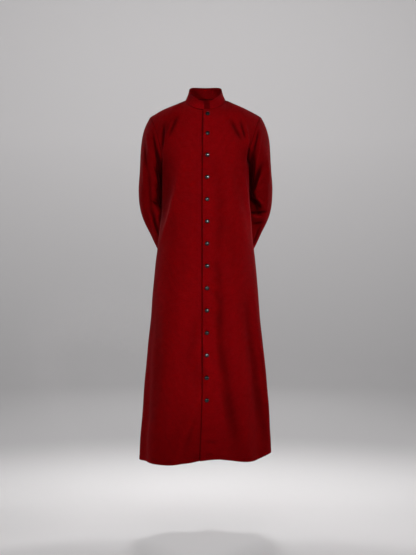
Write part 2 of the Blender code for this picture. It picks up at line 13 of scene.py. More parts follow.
import bpy
import numpy as np
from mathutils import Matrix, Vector


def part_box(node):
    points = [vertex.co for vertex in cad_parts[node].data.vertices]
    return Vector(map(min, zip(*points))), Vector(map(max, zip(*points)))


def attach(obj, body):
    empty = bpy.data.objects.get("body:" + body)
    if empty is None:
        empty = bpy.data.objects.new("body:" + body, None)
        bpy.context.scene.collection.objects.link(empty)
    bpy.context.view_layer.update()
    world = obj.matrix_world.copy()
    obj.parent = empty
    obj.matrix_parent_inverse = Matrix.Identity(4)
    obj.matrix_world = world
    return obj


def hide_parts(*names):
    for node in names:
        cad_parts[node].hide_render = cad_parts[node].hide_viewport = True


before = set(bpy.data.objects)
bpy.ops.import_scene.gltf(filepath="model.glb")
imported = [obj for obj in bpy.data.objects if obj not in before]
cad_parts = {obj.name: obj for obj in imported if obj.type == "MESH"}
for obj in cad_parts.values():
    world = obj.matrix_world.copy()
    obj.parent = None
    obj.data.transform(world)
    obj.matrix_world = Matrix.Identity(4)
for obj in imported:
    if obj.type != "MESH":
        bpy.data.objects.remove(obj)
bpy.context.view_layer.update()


# Viewpoint
# A level camera stands four metres in front of the garment, a little below its middle, with a short
# telephoto lens, so that the whole length shows with room above for a head and below for feet.
CAMERA_PLACE = (0.00975, -4.0, -0.6876)
CAMERA_LENS = 66.5
CAMERA_SENSOR = 36.0

camera = bpy.data.objects.new("camera", bpy.data.cameras.new("camera"))
camera.location = CAMERA_PLACE
camera.rotation_euler = (math.radians(90), 0, 0)
camera.data.lens = CAMERA_LENS
camera.data.sensor_width = CAMERA_SENSOR
camera.data.sensor_fit = "AUTO"
bpy.context.scene.collection.objects.link(camera)
bpy.context.scene.camera = camera


# The two fronts
# Each is cut in one from shoulder to hem, in a smooth crimson wool that is woven as a fine twill. The wearer's
# left front laps over the right one, which carries on 39 mm beyond the left one's edge. Both flare to the hem.
CLOTH = 0.0016
LAYER_GAP = 0.0010
UNDERARM_DROP = 0.240
HEM_DROP = 1.386
SEAT_DROP = 0.62

Section = namedtuple("Section", "drop half_width front back")
BODY = [
    Section(0.240, 0.168, 0.128, 0.126),
    Section(0.360, 0.1705, 0.131, 0.120),
    Section(0.480, 0.178, 0.133, 0.119),
    Section(0.580, 0.188, 0.136, 0.126),
    Section(0.700, 0.201, 0.141, 0.136),
    Section(0.850, 0.212, 0.148, 0.144),
    Section(1.010, 0.2275, 0.156, 0.155),
    Section(1.165, 0.239, 0.164, 0.168),
    Section(1.320, 0.2495, 0.172, 0.181),
    Section(1.386, 0.252, 0.176, 0.186),
]
BODY_SQUARENESS = 2.35
SIDE_SEAM_TURN = math.radians(94.5)
NECK_COLUMN_TURN = math.radians(44)
SKIRT_SWING = math.radians(6.0)

# Soft folds of the skirt, by turn in degrees, negative for a trough
Fold = namedtuple("Fold", "start_drop full_drop start_turn hem_turn height width")
SKIRT_FOLDS = [
    Fold(0.95, 1.30, 8, -31, 0.009, 8),
    Fold(1.00, 1.35, 12, -24, -0.010, 6),
    Fold(0.70, 1.30, -48, -50, 0.007, 13),
    Fold(0.60, 1.25, -69, -69, -0.008, 9),
    Fold(0.70, 1.35, -86, -87, 0.006, 8),
    Fold(0.46, 1.00, 13, 23, -0.010, 7),
    Fold(0.52, 1.05, 27, 32, 0.007, 7),
    Fold(0.52, 1.10, 50, 49, -0.009, 8),
    Fold(0.50, 1.20, 68, 66, 0.008, 8),
    Fold(0.62, 1.30, 84, 82, -0.005, 7),
    Fold(0.66, 1.30, 116, 114, -0.013, 9),
    Fold(0.62, 1.28, 134, 134, 0.012, 8),
    Fold(0.60, 1.22, 152, 153, -0.015, 8),
    Fold(0.62, 1.30, 170, 172, 0.016, 8),
    Fold(0.60, 1.24, 188, 190, -0.014, 8),
    Fold(0.64, 1.32, 207, 209, 0.013, 9),
    Fold(0.66, 1.26, 226, 229, -0.013, 9),
    Fold(0.70, 1.34, 246, 247, 0.009, 9),
]

# How far the hem stands above its level, by turn in degrees
HemRise = namedtuple("HemRise", "turn rise")
HEM_RISES = [
    HemRise(-180, 0.008),
    HemRise(-130, 0.000),
    HemRise(-90, -0.004),
    HemRise(-60, -0.003),
    HemRise(-36, -0.004),
    HemRise(-22, 0.002),
    HemRise(-8, 0.013),
    HemRise(6, 0.018),
    HemRise(28, 0.005),
    HemRise(48, 0.007),
    HemRise(64, 0.022),
    HemRise(80, 0.024),
    HemRise(98, 0.030),
    HemRise(140, 0.020),
    HemRise(180, 0.008),
]
HEM_RISE_START = 1.05

# An oval round the neck, lower in front than at the back and lifted at the sides
Oval = namedtuple("Oval", "half_width half_depth centre_y height fall side_lift")
NECK = Oval(0.079, 0.073, -0.002, -0.0120, 0.0320, 0.0120)
SHOULDER_TURN = math.radians(97)
SHOULDER_TIP = (0.2165, 0.014, -0.060)
SHOULDER_LEAN_AT_NECK = (0.137, 0.004, -0.062)
SHOULDER_LEAN_AT_TIP = (0.137, 0.004, -0.086)

Edge = namedtuple("Edge", "drop x")
FRONT_EDGE = [
    Edge(0.040, -0.0085),
    Edge(0.300, -0.0108),
    Edge(0.800, -0.0112),
    Edge(1.165, -0.0118),
    Edge(1.386, -0.0200),
]
UNDERLAP_EDGE_X = 0.028
TUCK_START = 0.002
TUCK_FADE = 0.060
OPEN_DROP = 1.150
OPEN_DEPTH = 0.008

# Lines that carry a front from the underarm ring to its top edge, by share of its width
Guide = namedtuple("Guide", "share at_ring at_top")
FRONT_GUIDES = [
    Guide(0.00, (0.000, 0.010, 0.200), (0.000, 0.095, 0.160)),
    Guide(0.19, (-0.003, 0.010, 0.200), (-0.030, 0.150, 0.130)),
    Guide(0.32, (-0.004, 0.002, 0.200), (-0.070, 0.212, 0.103)),
    Guide(0.43, (-0.006, -0.010, 0.200), (-0.105, 0.285, 0.064)),
    Guide(0.49, (-0.006, -0.025, 0.200), (-0.085, 0.345, 0.036)),
    Guide(0.61, (-0.008, -0.050, 0.198), (-0.050, 0.378, 0.016)),
    Guide(0.74, (-0.012, -0.105, 0.172), (-0.012, 0.378, 0.023)),
    Guide(0.87, (-0.020, -0.180, 0.110), (0.024, 0.360, 0.041)),
    Guide(1.00, (-0.030, -0.280, 0.040), (0.050, 0.305, 0.060)),
]

# Creases finer than the skirt's folds, each along a bowed line on the cloth as seen from in front
Crease = namedtuple("Crease", "from_x from_drop to_x to_drop bow width height")
FRONT_CREASES = [
    # Drag lines from the armholes up over the chest
    Crease(-0.0960, 0.0513, -0.1564, 0.1722, 0.002, 0.0085, -0.0075),
    Crease(-0.1186, 0.0702, -0.1602, 0.1797, 0.001, 0.0055, 0.0065),
    Crease(-0.1571, 0.0891, -0.1677, 0.2062, 0.001, 0.0055, -0.0085),
    Crease(-0.1262, 0.1495, -0.1639, 0.1948, 0.000, 0.0060, 0.0032),
    Crease(0.0890, 0.0740, 0.1419, 0.1760, -0.001, 0.0080, -0.0070),
    Crease(0.1306, 0.0816, 0.1551, 0.1684, 0.000, 0.0052, -0.0056),
    Crease(0.1525, 0.0929, 0.1646, 0.1873, 0.000, 0.0050, 0.0060),
    Crease(0.1759, 0.1457, 0.1589, 0.2741, 0.000, 0.0055, -0.0070),
    # The sides of the chest, turned away from its middle
    Crease(-0.0828, 0.2062, -0.1337, 0.4516, 0.001, 0.0100, 0.0050),
    Crease(-0.1186, 0.3572, -0.1790, 0.5838, 0.000, 0.0090, 0.0056),
    Crease(-0.1300, 0.2213, -0.1715, 0.5460, 0.000, 0.0220, -0.0100),
    Crease(0.0928, 0.2062, 0.1532, 0.4516, 0.000, 0.0180, -0.0034),
    Crease(0.1438, 0.2552, 0.1797, 0.5611, 0.000, 0.0070, 0.0062),
    # Soft troughs down the left front beside the buttons
    Crease(0.0249, 0.1873, 0.0626, 0.4554, 0.000, 0.0231, -0.0052),
    Crease(0.0607, 0.3194, 0.0456, 0.6782, 0.000, 0.0214, -0.0065),
    Crease(0.0890, 0.3950, 0.1117, 0.6970, 0.000, 0.0247, -0.0043),
    Crease(0.0400, 0.5913, 0.0607, 0.7914, -0.001, 0.0140, -0.0060),
    Crease(0.0305, 0.7159, 0.0626, 0.8028, -0.001, 0.0083, -0.0030),
    Crease(0.0607, 0.7348, 0.0532, 0.9047, 0.001, 0.0132, -0.0060),
    Crease(0.0520, 0.7914, 0.0664, 1.0746, 0.001, 0.0157, -0.0068),
    Crease(0.0626, 0.9160, 0.0966, 1.2634, 0.000, 0.0173, -0.0077),
    Crease(0.0815, 1.0935, 0.1193, 1.3692, 0.000, 0.0190, -0.0073),
    Crease(0.0890, 0.7914, 0.1230, 1.1690, 0.000, 0.0214, 0.0053),
    # Folds that fall to the hem at the left front's side
    Crease(0.1495, 0.7159, 0.1759, 1.0444, 0.000, 0.0145, -0.0047),
    Crease(0.1683, 0.8670, 0.2137, 1.2634, 0.000, 0.0159, -0.0062),
    Crease(0.1948, 1.0746, 0.2325, 1.3465, 0.000, 0.0159, -0.0051),
    Crease(0.1812, 0.6895, 0.2061, 0.9991, 0.000, 0.0109, 0.0045),
    Crease(0.1986, 0.8405, 0.2495, 1.3012, 0.000, 0.0123, 0.0051),
    # Broad soft folds of the right front's skirt
    Crease(-0.0129, 0.7914, -0.0809, 1.0444, 0.000, 0.0196, -0.0047),
    Crease(-0.0733, 0.9425, -0.0091, 1.1502, 0.000, 0.0196, -0.0041),
    Crease(-0.0091, 1.0935, -0.0809, 1.3012, 0.000, 0.0092, 0.0034),
    Crease(-0.0318, 1.1690, -0.0884, 1.3843, 0.000, 0.0126, -0.0039),
    Crease(-0.1904, 0.7159, -0.1753, 1.1124, 0.000, 0.0184, -0.0051),
    Crease(-0.1772, 0.9425, -0.2130, 1.3390, 0.000, 0.0196, -0.0053),
    Crease(-0.1035, 0.6291, -0.0884, 1.0180, 0.000, 0.0299, 0.0037),
    Crease(-0.1111, 1.0369, -0.1413, 1.3767, 0.000, 0.0242, 0.0039),
    # Short crumples above the hem of the left front
    Crease(-0.0129, 1.2993, 0.0494, 1.3050, 0.001, 0.0059, -0.0020),
    Crease(-0.0129, 1.3182, 0.0437, 1.3144, 0.000, 0.0056, 0.0019),
    Crease(-0.0054, 1.3427, 0.0400, 1.3503, -0.001, 0.0050, -0.0017),
]
Wave = namedtuple("Wave", "seed count shortest longest height")
UNEVENNESS = Wave(7, 18, 0.055, 0.170, 0.0007)

# Creases die out at a seam, where the two edges turn down to cross just under the surface
SEAM_FADE = 0.014
SEAM_DEPTH = 0.0015
SEAM_HALF_WIDTH = 0.0024
SEAM_TUCK = 0.0018
HEM_STITCH_RISE = 0.0185
HEM_STITCH_PITCH = 0.0032
HEM_STITCH_LENGTH = 0.0023
THREAD_RADIUS = 0.00022
# How strongly shade is painted into the cloth's colour at seams and round edges and in a body crease, and a
# highlight painted on a body ridge, from 0 to 1; then the shade painted on the fronts beside the arms
SEAM_SHADE = 0.90
BODY_CREASE_PAINTED_SHADE_AND_HIGHLIGHT = 0.90
PAINTED_SHADE_BESIDE_ARM = 0.60
BESIDE_ARM_REACH = 0.055
BESIDE_ARM_START = 0.22
BESIDE_ARM_FULL = 0.30
BESIDE_ARM_END = 0.52
BESIDE_ARM_FADE = 0.12
HEM_TURNING = 0.0190
HEM_FULLNESS = 0.0005
STITCH_DIP = 0.0006
STITCH_DIP_REACH = 0.0020
# The under front sinks beside the upper one's edge, which throws the dark line down the closing; shade is painted
# into the cloth's colour along the dip as well
EDGE_DIP = 0.0026
EDGE_DIP_REACH = 0.0017
EDGE_DIP_PLACE = 0.0016

NECK_CELLS = 36
SHOULDER_CELLS = 56
UNDERLAP_CELLS = 9
YOKE_ROWS = 80
SKIRT_ROWS = 196
HEM_ROWS = 18
HEM_ZONE = 0.036
EASE_PASSES = 78
EASE_COLUMNS = 18
EASE_ROWS = 10
EDGE_ROUNDING = 0.0008


def hermite(start, start_lean, end, end_lean, share):
    """Cubic from start to end that leaves along start_lean and arrives along end_lean."""
    s2, s3 = share**2, share**3
    return (
        (2 * s3 - 3 * s2 + 1) * start
        + (s3 - 2 * s2 + share) * start_lean
        + (3 * s2 - 2 * s3) * end
        + (s3 - s2) * end_lean
    )


def smooth_value(knots, values, at):
    """A smooth curve through a table's values; knots rise."""
    knots, values = np.asarray(knots, float), np.asarray(values, float)
    slopes = np.gradient(values, knots)
    i = np.clip(np.searchsorted(knots, at) - 1, 0, len(knots) - 2)
    span = knots[i + 1] - knots[i]
    share = np.clip((at - knots[i]) / span, 0, 1)
    return hermite(values[i], slopes[i] * span, values[i + 1], slopes[i + 1] * span, share)


def column(table, name):
    return [getattr(row, name) for row in table]


def ramp(value, low, high):
    """0 below low, 1 above high and smooth between."""
    t = np.clip((value - low) / (high - low), 0, 1)
    return t * t * (3 - 2 * t)


def unit(vectors):
    return vectors / np.linalg.norm(vectors, axis=-1, keepdims=True)


def evenly_along(points_of, start, end, count, samples=361):
    """Values between start and end that place count points evenly along a curve."""
    fine = np.linspace(start, end, samples)
    steps = np.linalg.norm(np.diff(points_of(fine), axis=0), axis=1)
    length = np.concatenate([[0], np.cumsum(steps)])
    return np.interp(np.linspace(0, length[-1], count), length, fine)


def turned_away(turn, centre):
    """Degrees between two turns, the short way round."""
    return (np.degrees(turn) - centre + 180) % 360 - 180


def skirt_relief(turn, drop):
    """How far the soft folds lift the cloth off its section."""
    relief = np.zeros_like(turn)
    for fold in SKIRT_FOLDS:
        grown = ramp(drop, fold.start_drop, fold.full_drop)
        down = (drop - fold.start_drop) / (HEM_DROP - fold.start_drop)
        centre = fold.start_turn + (fold.hem_turn - fold.start_turn) * max(down, 0)
        relief += fold.height * grown * np.exp(-((turned_away(turn, centre) / fold.width) ** 2))
    return relief


def body_points(turn, drop):
    """The body's outer face at one height: a rounded section with folds, swing and the hem's rise."""
    turn = np.asarray(turn, float)
    half_width, front, back = (
        smooth_value(column(BODY, "drop"), column(BODY, name), drop)
        for name in ("half_width", "front", "back")
    )
    s, c = np.sin(turn), np.cos(turn)
    depth = np.where(c > 0, front, back)
    fullness = (np.abs(s) ** BODY_SQUARENESS + np.abs(c) ** BODY_SQUARENESS) ** (-1 / BODY_SQUARENESS)
    x, y = half_width * s * fullness, -depth * c * fullness
    outward = unit(np.stack([s / half_width, -c / depth], axis=-1))
    relief = skirt_relief(turn, drop)
    x, y = x + outward[:, 0] * relief, y + outward[:, 1] * relief
    swing = SKIRT_SWING * ramp(drop, SEAT_DROP, HEM_DROP)
    x, y = x * math.cos(swing) - y * math.sin(swing), x * math.sin(swing) + y * math.cos(swing)
    degrees = turned_away(turn, 0)
    rise = smooth_value(column(HEM_RISES, "turn"), column(HEM_RISES, "rise"), degrees)
    return np.stack([x, y, -drop + rise * ramp(drop, HEM_RISE_START, HEM_DROP)], axis=-1)


def turn_at_x(x, drop):
    """The turn near the front centre where the body's face has this x."""
    fine = np.linspace(-0.5, 0.5, 161)
    return np.interp(x, body_points(fine, drop)[:, 0], fine)


def round_neck(oval, turn):
    """Points of an oval round the neck."""
    s, c = np.sin(turn), np.cos(turn)
    height = oval.height - oval.fall * c + oval.side_lift * s * s
    return np.stack([oval.half_width * s, oval.centre_y - oval.half_depth * c, height], axis=-1)


def neck_seam(turn):
    return round_neck(NECK, turn)


def neck_turn_at_x(x):
    return math.asin(x / NECK.half_width)


def shoulder_seam(share, side):
    """The shoulder seam from the neck to the tip; side is 1 for the wearer's left and -1 for the right."""
    mirror = np.array([side, 1, 1])
    start = neck_seam(np.array(side * SHOULDER_TURN))
    end = np.array(SHOULDER_TIP) * mirror
    leans = np.array(SHOULDER_LEAN_AT_NECK) * mirror, np.array(SHOULDER_LEAN_AT_TIP) * mirror
    return hermite(start, leans[0], end, leans[1], share[:, None])


def leans_at(guides, shares, which, side):
    """A guide's lean for each column, mirrored to the wearer's right where side is -1."""
    rows = np.array(column(guides, which)) * np.array([side, 1, 1])
    return np.stack([smooth_value(column(guides, "share"), rows[:, k], shares) for k in range(3)], axis=-1)


def yoke_rows(ring, top, at_ring, at_top):
    """Rows of a panel from its top edge down to the underarm ring."""
    shares = np.linspace(1, 0, YOKE_ROWS + 1)[:, None, None]
    return hermite(ring[None], at_ring[None], top[None], at_top[None], shares)


def eased(yoke, corners):
    """The yoke smoothed across under each corner of its top edge, so that no ridge runs down from there."""
    columns = np.arange(yoke.shape[1])
    near = sum(1 - ramp(np.abs(columns - corner), 0, EASE_COLUMNS) for corner in corners)
    rows = np.arange(yoke.shape[0])
    below = ramp(rows, 0, EASE_ROWS) * (1 - ramp(rows, YOKE_ROWS - 2 * EASE_ROWS, YOKE_ROWS))
    weight = (below[:, None] * near)[:, 1:-1, None]
    made = yoke.copy()
    for _ in range(EASE_PASSES):
        middle = (made[:, :-2] + 2 * made[:, 1:-1] + made[:, 2:]) / 4
        made[:, 1:-1] += (middle - made[:, 1:-1]) * weight
    return made


def skirt_drops():
    """Heights of the rows below the underarm, closer together where the hem is turned up."""
    zone = HEM_DROP - HEM_ZONE
    return np.concatenate(
        [np.linspace(UNDERARM_DROP, zone, SKIRT_ROWS + 1)[:-1], np.linspace(zone, HEM_DROP, HEM_ROWS + 1)]
    )


def front_neck_turns(side, edge_x, cells):
    """Turns of the points where a front meets the collar, from its edge to the shoulder seam."""
    edge_turn = neck_turn_at_x(edge_x(-float(neck_seam(np.array(0.0))[2])))
    return evenly_along(neck_seam, edge_turn, side * SHOULDER_TURN, cells + 1)


def front_panel(side, edge_x, neck_cells):
    """One front's grid of points, rows from the top down and columns from the front edge to the side seam."""
    shoulder = shoulder_seam(np.linspace(0, 1, SHOULDER_CELLS + 1)[1:], side)
    top = np.concatenate([neck_seam(front_neck_turns(side, edge_x, neck_cells)), shoulder])

    def ring(drop):
        def at(turn):
            return body_points(turn, drop)

        start, middle, end = turn_at_x(edge_x(drop), drop), side * NECK_COLUMN_TURN, side * SIDE_SEAM_TURN
        near = evenly_along(at, start, middle, neck_cells + 1)
        far = evenly_along(at, middle, end, SHOULDER_CELLS + 1)
        return at(np.concatenate([near, far[1:]]))

    first = ring(UNDERARM_DROP)
    along = np.concatenate([[0], np.cumsum(np.linalg.norm(np.diff(first, axis=0), axis=1))])
    middle = np.interp(0, side * first[:, 0], along)
    shares = np.abs(along - middle) / (along[-1] - middle)
    at_ring = leans_at(FRONT_GUIDES, shares, "at_ring", side)
    at_top = leans_at(FRONT_GUIDES, shares, "at_top", side)
    yoke = eased(yoke_rows(first, top, at_ring, at_top), [neck_cells])
    skirt = np.stack([ring(drop) for drop in skirt_drops()[1:]])
    return np.concatenate([yoke, skirt])


def left_edge_x(drop):
    return float(smooth_value(column(FRONT_EDGE, "drop"), column(FRONT_EDGE, "x"), drop))


def underlap_edge_x(_drop):
    return UNDERLAP_EDGE_X


def grid_normals(grid, closed, outward):
    """Outward unit normals at a grid's points; outward is 1, or -1 where its columns run clockwise."""
    down = np.gradient(grid, axis=0)
    if closed:
        across = np.roll(grid, -1, axis=1) - np.roll(grid, 1, axis=1)
    else:
        across = np.gradient(grid, axis=1)
    return unit(np.cross(down, across)) * outward


def tucked(grid, normals):
    """The right front pressed in to lie under the left one, and further in where the closing falls open."""
    drop = -grid[..., 2]
    edge = smooth_value(column(FRONT_EDGE, "drop"), column(FRONT_EDGE, "x"), np.clip(drop, 0.04, HEM_DROP))
    under = 1 - ramp(edge - grid[..., 0], TUCK_START, TUCK_FADE)
    depth = CLOTH + LAYER_GAP + OPEN_DEPTH * ramp(drop, OPEN_DROP, HEM_DROP)
    return grid - normals * (under * depth)[..., None]


def creased(table, x, drop, steep):
    """How far a table of creases lifts points at this x and drop. If steep, a crease counts by its height over its
    width, which sets the shade painted into a trough and the highlight painted on a ridge."""
    relief = np.zeros_like(x)
    for row in table:
        run_x, run_drop = row.to_x - row.from_x, row.to_drop - row.from_drop
        length = math.hypot(run_x, run_drop)
        along = ((x - row.from_x) * run_x + (drop - row.from_drop) * run_drop) / length**2
        off = ((x - row.from_x) * run_drop - (drop - row.from_drop) * run_x) / length
        off = off - row.bow * 4 * along * (1 - along)
        ends = ramp(along, 0, 0.40) * ramp(1 - along, 0, 0.40)
        height = row.height / row.width if steep else row.height
        relief += height * ends * np.exp(-((off / row.width) ** 2))
    return relief


def uneven(points, wave):
    """Low waves of mixed lengths and directions, as smooth cloth has on a body."""
    random = np.random.default_rng(wave.seed)
    relief = np.zeros(points.shape[:-1])
    for _ in range(wave.count):
        way = unit(random.normal(size=3) * np.array([1.0, 1.0, 0.45]))
        length = random.uniform(wave.shortest, wave.longest)
        relief += np.sin(points @ way * 2 * math.pi / length + random.uniform(0, 2 * math.pi))
    return relief * wave.height / math.sqrt(wave.count / 2)


def finer(count, low, high, parts):
    """Places of a grid's lines, with the cells between two of them cut into parts."""
    extra = np.arange(low, high, 1 / parts)
    return np.unique(np.round(np.concatenate([np.arange(count), extra]), 4))


def resampled(grid, places, axis):
    """A grid cut at places between its lines, along smooth curves."""
    lines = np.moveaxis(grid, axis, 0)
    slopes = np.gradient(lines, axis=0)
    i = np.minimum(places.astype(int), len(lines) - 2)
    share = (places - i)[:, None, None]
    return np.moveaxis(hermite(lines[i], slopes[i], lines[i + 1], slopes[i + 1], share), 0, axis)


def panel_seams(grid, both_sides):
    """Distance over the cloth from a panel's nearest seam: its top, its last column and, if so, its first."""
    across, down = run_along(grid, 1), run_along(grid, 0)
    nearest = np.minimum(down, across[:, -1:] - across)
    return np.minimum(nearest, across) if both_sides else nearest


def hem_relief(grid):
    """The fuller cloth where the hem is turned up, and the dip along the stitches that hold it."""
    down = run_along(grid, 0)
    up = down[-1:] - down
    turned = HEM_FULLNESS * (1 - ramp(up, HEM_TURNING - 0.002, HEM_TURNING))
    return turned - STITCH_DIP * np.exp(-(((up - HEM_TURNING) / STITCH_DIP_REACH) ** 2))


def finished_end(line, inward, cell, is_sewn, thickness):
    """The lines that end a grid at one edge, and how deep the outer and inner faces lie there."""
    if not is_sewn:
        return [line, line + inward * EDGE_ROUNDING], [0.45 * thickness, 0], [0.55 * thickness, thickness]
    near = line + inward * np.minimum(SEAM_HALF_WIDTH, 0.6 * cell)
    outer = [thickness, SEAM_DEPTH, 0]
    return [line - inward * SEAM_TUCK, line, near], outer, [depth + thickness for depth in outer]


def finished(grid, first_sewn, last_sewn, thickness):
    """The grid with its first and last rows finished, and the depths of its faces at each row."""
    first, last = grid[1:2] - grid[:1], grid[-2:-1] - grid[-1:]
    cells = [np.linalg.norm(step, axis=-1, keepdims=True) for step in (first, last)]
    start, outer, inner = finished_end(grid[:1], unit(first), cells[0], first_sewn, thickness)
    end, outer_end, inner_end = finished_end(grid[-1:], unit(last), cells[1], last_sewn, thickness)
    plain = len(grid) - 2
    lines = np.concatenate(start + [grid[1:-1]] + end[::-1])
    outer = np.array(outer + [0] * plain + outer_end[::-1])
    inner = np.array(inner + [thickness] * plain + inner_end[::-1])
    return lines, outer, inner


def run_along(grid, axis):
    """Distance over the cloth from a grid's first row or column."""
    steps = np.linalg.norm(np.diff(grid, axis=axis), axis=-1)
    start = np.zeros_like(np.take(steps, [0], axis=axis))
    return np.concatenate([start, np.cumsum(steps, axis=axis)], axis=axis)


def add_cloth(name, form, relief_of, thickness, finish, sewn, closed=False, outward=1):
    """A creased shell of cloth with an outer and an inner face. Its edges turn down at the seams that sewn names
    and are rounded elsewhere, and its UVs are its places on the bolt. Gives the piece, its points and normals."""
    form = form + grid_normals(form, closed, outward) * relief_of(form)[..., None]
    form, outer_depth, inner_depth = finished(form, "top" in sewn, "bottom" in sewn, thickness)
    outer_depth, inner_depth = outer_depth[:, None], inner_depth[:, None]
    if not closed:
        swapped = form.swapaxes(0, 1)
        swapped, outer_across, inner_across = finished(swapped, "first" in sewn, "last" in sewn, thickness)
        form = swapped.swapaxes(0, 1)
        at_free_edge = np.minimum(inner_depth, inner_across)
        outer_depth = np.maximum(outer_depth, outer_across)
        deeper = np.maximum(inner_depth, inner_across)
        inner_depth = np.where(at_free_edge < thickness, np.maximum(at_free_edge, outer_depth), deeper)
    normals = grid_normals(form, closed, outward)
    rows, columns = form.shape[:2]
    # Painted shade and highlight for the cloth's colour, kept on its points: shade painted into creases, seams,
    # round edges and the sides by the arms, a highlight painted along ridges
    painted_shade_and_highlight = np.clip(relief_of(form, True), -1, 1) - SEAM_SHADE * np.minimum(outer_depth / SEAM_DEPTH, 1)
    painted_shade_and_highlight = painted_shade_and_highlight + np.zeros((rows, columns))
    outer = form - normals * (outer_depth + np.zeros((rows, columns)))[..., None]
    inner = form - normals * (inner_depth + np.zeros((rows, columns)))[..., None]
    i, j = np.meshgrid(np.arange(rows - 1), np.arange(columns if closed else columns - 1), indexing="ij")
    k = (j + 1) % columns
    a, b, c, d = i * columns + j, (i + 1) * columns + j, (i + 1) * columns + k, i * columns + k
    outside = np.stack([a, b, c, d], axis=-1).reshape(-1, 4)
    count = rows * columns
    inside = outside[:, ::-1] + count
    top, bottom = np.stack([d[0], a[0]], axis=-1), np.stack([b[-1], c[-1]], axis=-1)
    borders = [top, bottom]
    if not closed:
        borders += [np.stack([a[:, 0], b[:, 0]], axis=-1), np.stack([c[:, -1], d[:, -1]], axis=-1)]
    border = np.concatenate(borders)
    rim = np.stack([border[:, 1], border[:, 0], border[:, 0] + count, border[:, 1] + count], axis=-1)
    faces = np.concatenate([outside, inside, rim])
    if outward < 0:
        faces = faces[:, ::-1]
    mesh = bpy.data.meshes.new(name)
    mesh.from_pydata(np.concatenate([outer.reshape(-1, 3), inner.reshape(-1, 3)]), [], faces)
    across, down = run_along(form, 1), run_along(form, 0)
    across = across - across[:, columns // 2][:, None]
    places = np.tile(np.stack([across, -down], axis=-1).reshape(-1, 2), (2, 1))
    corner = np.zeros(len(mesh.loops), np.int32)
    mesh.loops.foreach_get("vertex_index", corner)
    mesh.uv_layers.new(name="bolt").data.foreach_set("uv", places[corner].ravel())
    painted_shade_and_highlight_layer = mesh.attributes.new("painted_shade_and_highlight", "FLOAT", "POINT")
    painted_shade_and_highlight_layer.data.foreach_set("value", np.tile(painted_shade_and_highlight.ravel(), 2).astype(np.float32))
    mesh.materials.append(finish)
    mesh.shade_smooth()
    made = bpy.data.objects.new(name, mesh)
    bpy.context.scene.collection.objects.link(made)
    return made, outer, normals


def line_above_edge(points, normals, rise):
    """The line at a distance above a piece's bottom edge, and the cloth's normals along it."""
    down = run_along(points, 0)
    from_edge = down[-1] - down
    row = np.arange(len(points))
    places = np.array([np.interp(-rise, -from_edge[:, c], row) for c in range(points.shape[1])])
    low = np.floor(places).astype(int)
    share, column = (places - low)[:, None], np.arange(points.shape[1])
    line = points[low, column] * (1 - share) + points[low + 1, column] * share
    return line, unit(normals[low, column])


def spaced(line, normals, pitch, margin):
    """Middles, directions and normals of stitches that are set out evenly along a line."""
    run = np.concatenate([[0], np.cumsum(np.linalg.norm(np.diff(line, axis=0), axis=1))])
    at = np.arange(margin, run[-1] - margin, pitch)
    middles = np.stack([np.interp(at, run, line[:, k]) for k in range(3)], axis=1)
    facing = np.stack([np.interp(at, run, normals[:, k]) for k in range(3)], axis=1)
    return middles, unit(np.gradient(middles, axis=0)), unit(facing)


# A stitch from end to end: the place along it, its share of the thread's thickness, and its height in radii
StitchRing = namedtuple("StitchRing", "along thickness height")
STITCH_RINGS = [
    StitchRing(-0.5, 0.45, -0.7),
    StitchRing(-0.28, 0.9, 0.1),
    StitchRing(0, 1, 0.5),
    StitchRing(0.28, 0.9, 0.1),
    StitchRing(0.5, 0.45, -0.7),
]
THREAD_SIDES = 6


def stitches(name, middles, ways, normals, length, finish):
    """Short lengths of thread that rise from the cloth and go back into it, all in one mesh."""
    sides = THREAD_SIDES
    turns = np.arange(sides) * 2 * math.pi / sides
    across = unit(np.cross(ways, normals))
    rings = []
    for along, thickness, height in STITCH_RINGS:
        middle = middles + ways * length * along + normals * THREAD_RADIUS * height
        for t in turns:
            offset = across * math.cos(t) + normals * math.sin(t)
            rings.append(middle + offset * THREAD_RADIUS * thickness)
    each = len(rings)
    points = np.stack(rings, axis=1).reshape(-1, 3)
    pattern = [
        (r * sides + k, r * sides + (k + 1) % sides, (r + 1) * sides + (k + 1) % sides, (r + 1) * sides + k)
        for r in range(each // sides - 1)
        for k in range(sides)
    ]
    starts = np.arange(len(middles)) * each
    faces = (starts[:, None, None] + np.array(pattern)[None]).reshape(-1, 4)
    mesh = bpy.data.meshes.new(name)
    mesh.from_pydata(points, [], faces)
    mesh.materials.append(finish)
    mesh.shade_smooth()
    made = bpy.data.objects.new(name, mesh)
    bpy.context.scene.collection.objects.link(made)
    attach(made, "root")
    return made


def hem_stitches(name, points, normals, finish):
    line, facing = line_above_edge(points, normals, HEM_STITCH_RISE)
    return stitches(name, *spaced(line, facing, HEM_STITCH_PITCH, 0.004), HEM_STITCH_LENGTH, finish)


class Wire:
    """A socket in a material. Arithmetic on it adds Math nodes, and node() adds any other kind."""

    def __init__(self, socket):
        self.socket = socket

    def node(self, kind, settings=None, sockets=None, output=0):
        """An output of a new node: its settings are made first, then its sockets are given values or links."""
        tree = self.socket.id_data
        made = tree.nodes.new("ShaderNode" + kind)
        for name, value in (settings or {}).items():
            if name == "stops":
                for stop, (place, colour) in zip(made.color_ramp.elements, value):
                    stop.position, stop.color = place, colour
            else:
                setattr(made, name, value)
        for name, value in (sockets or {}).items():
            if isinstance(value, Wire):
                tree.links.new(value.socket, made.inputs[name])
            else:
                made.inputs[name].default_value = value
        return Wire(made.outputs[output])

    def math(self, operation, first, second=0.0):
        return self.node("Math", {"operation": operation}, {0: first, 1: second})

    def feeds(self, shader, name):
        self.socket.id_data.links.new(self.socket, shader.inputs[name])

    def __add__(self, other):
        return self.math("ADD", self, other)

    def __sub__(self, other):
        return self.math("SUBTRACT", self, other)

    def __rsub__(self, other):
        return self.math("SUBTRACT", other, self)

    def __mul__(self, other):
        return self.math("MULTIPLY", self, other)

    __radd__ = __add__
    __rmul__ = __mul__


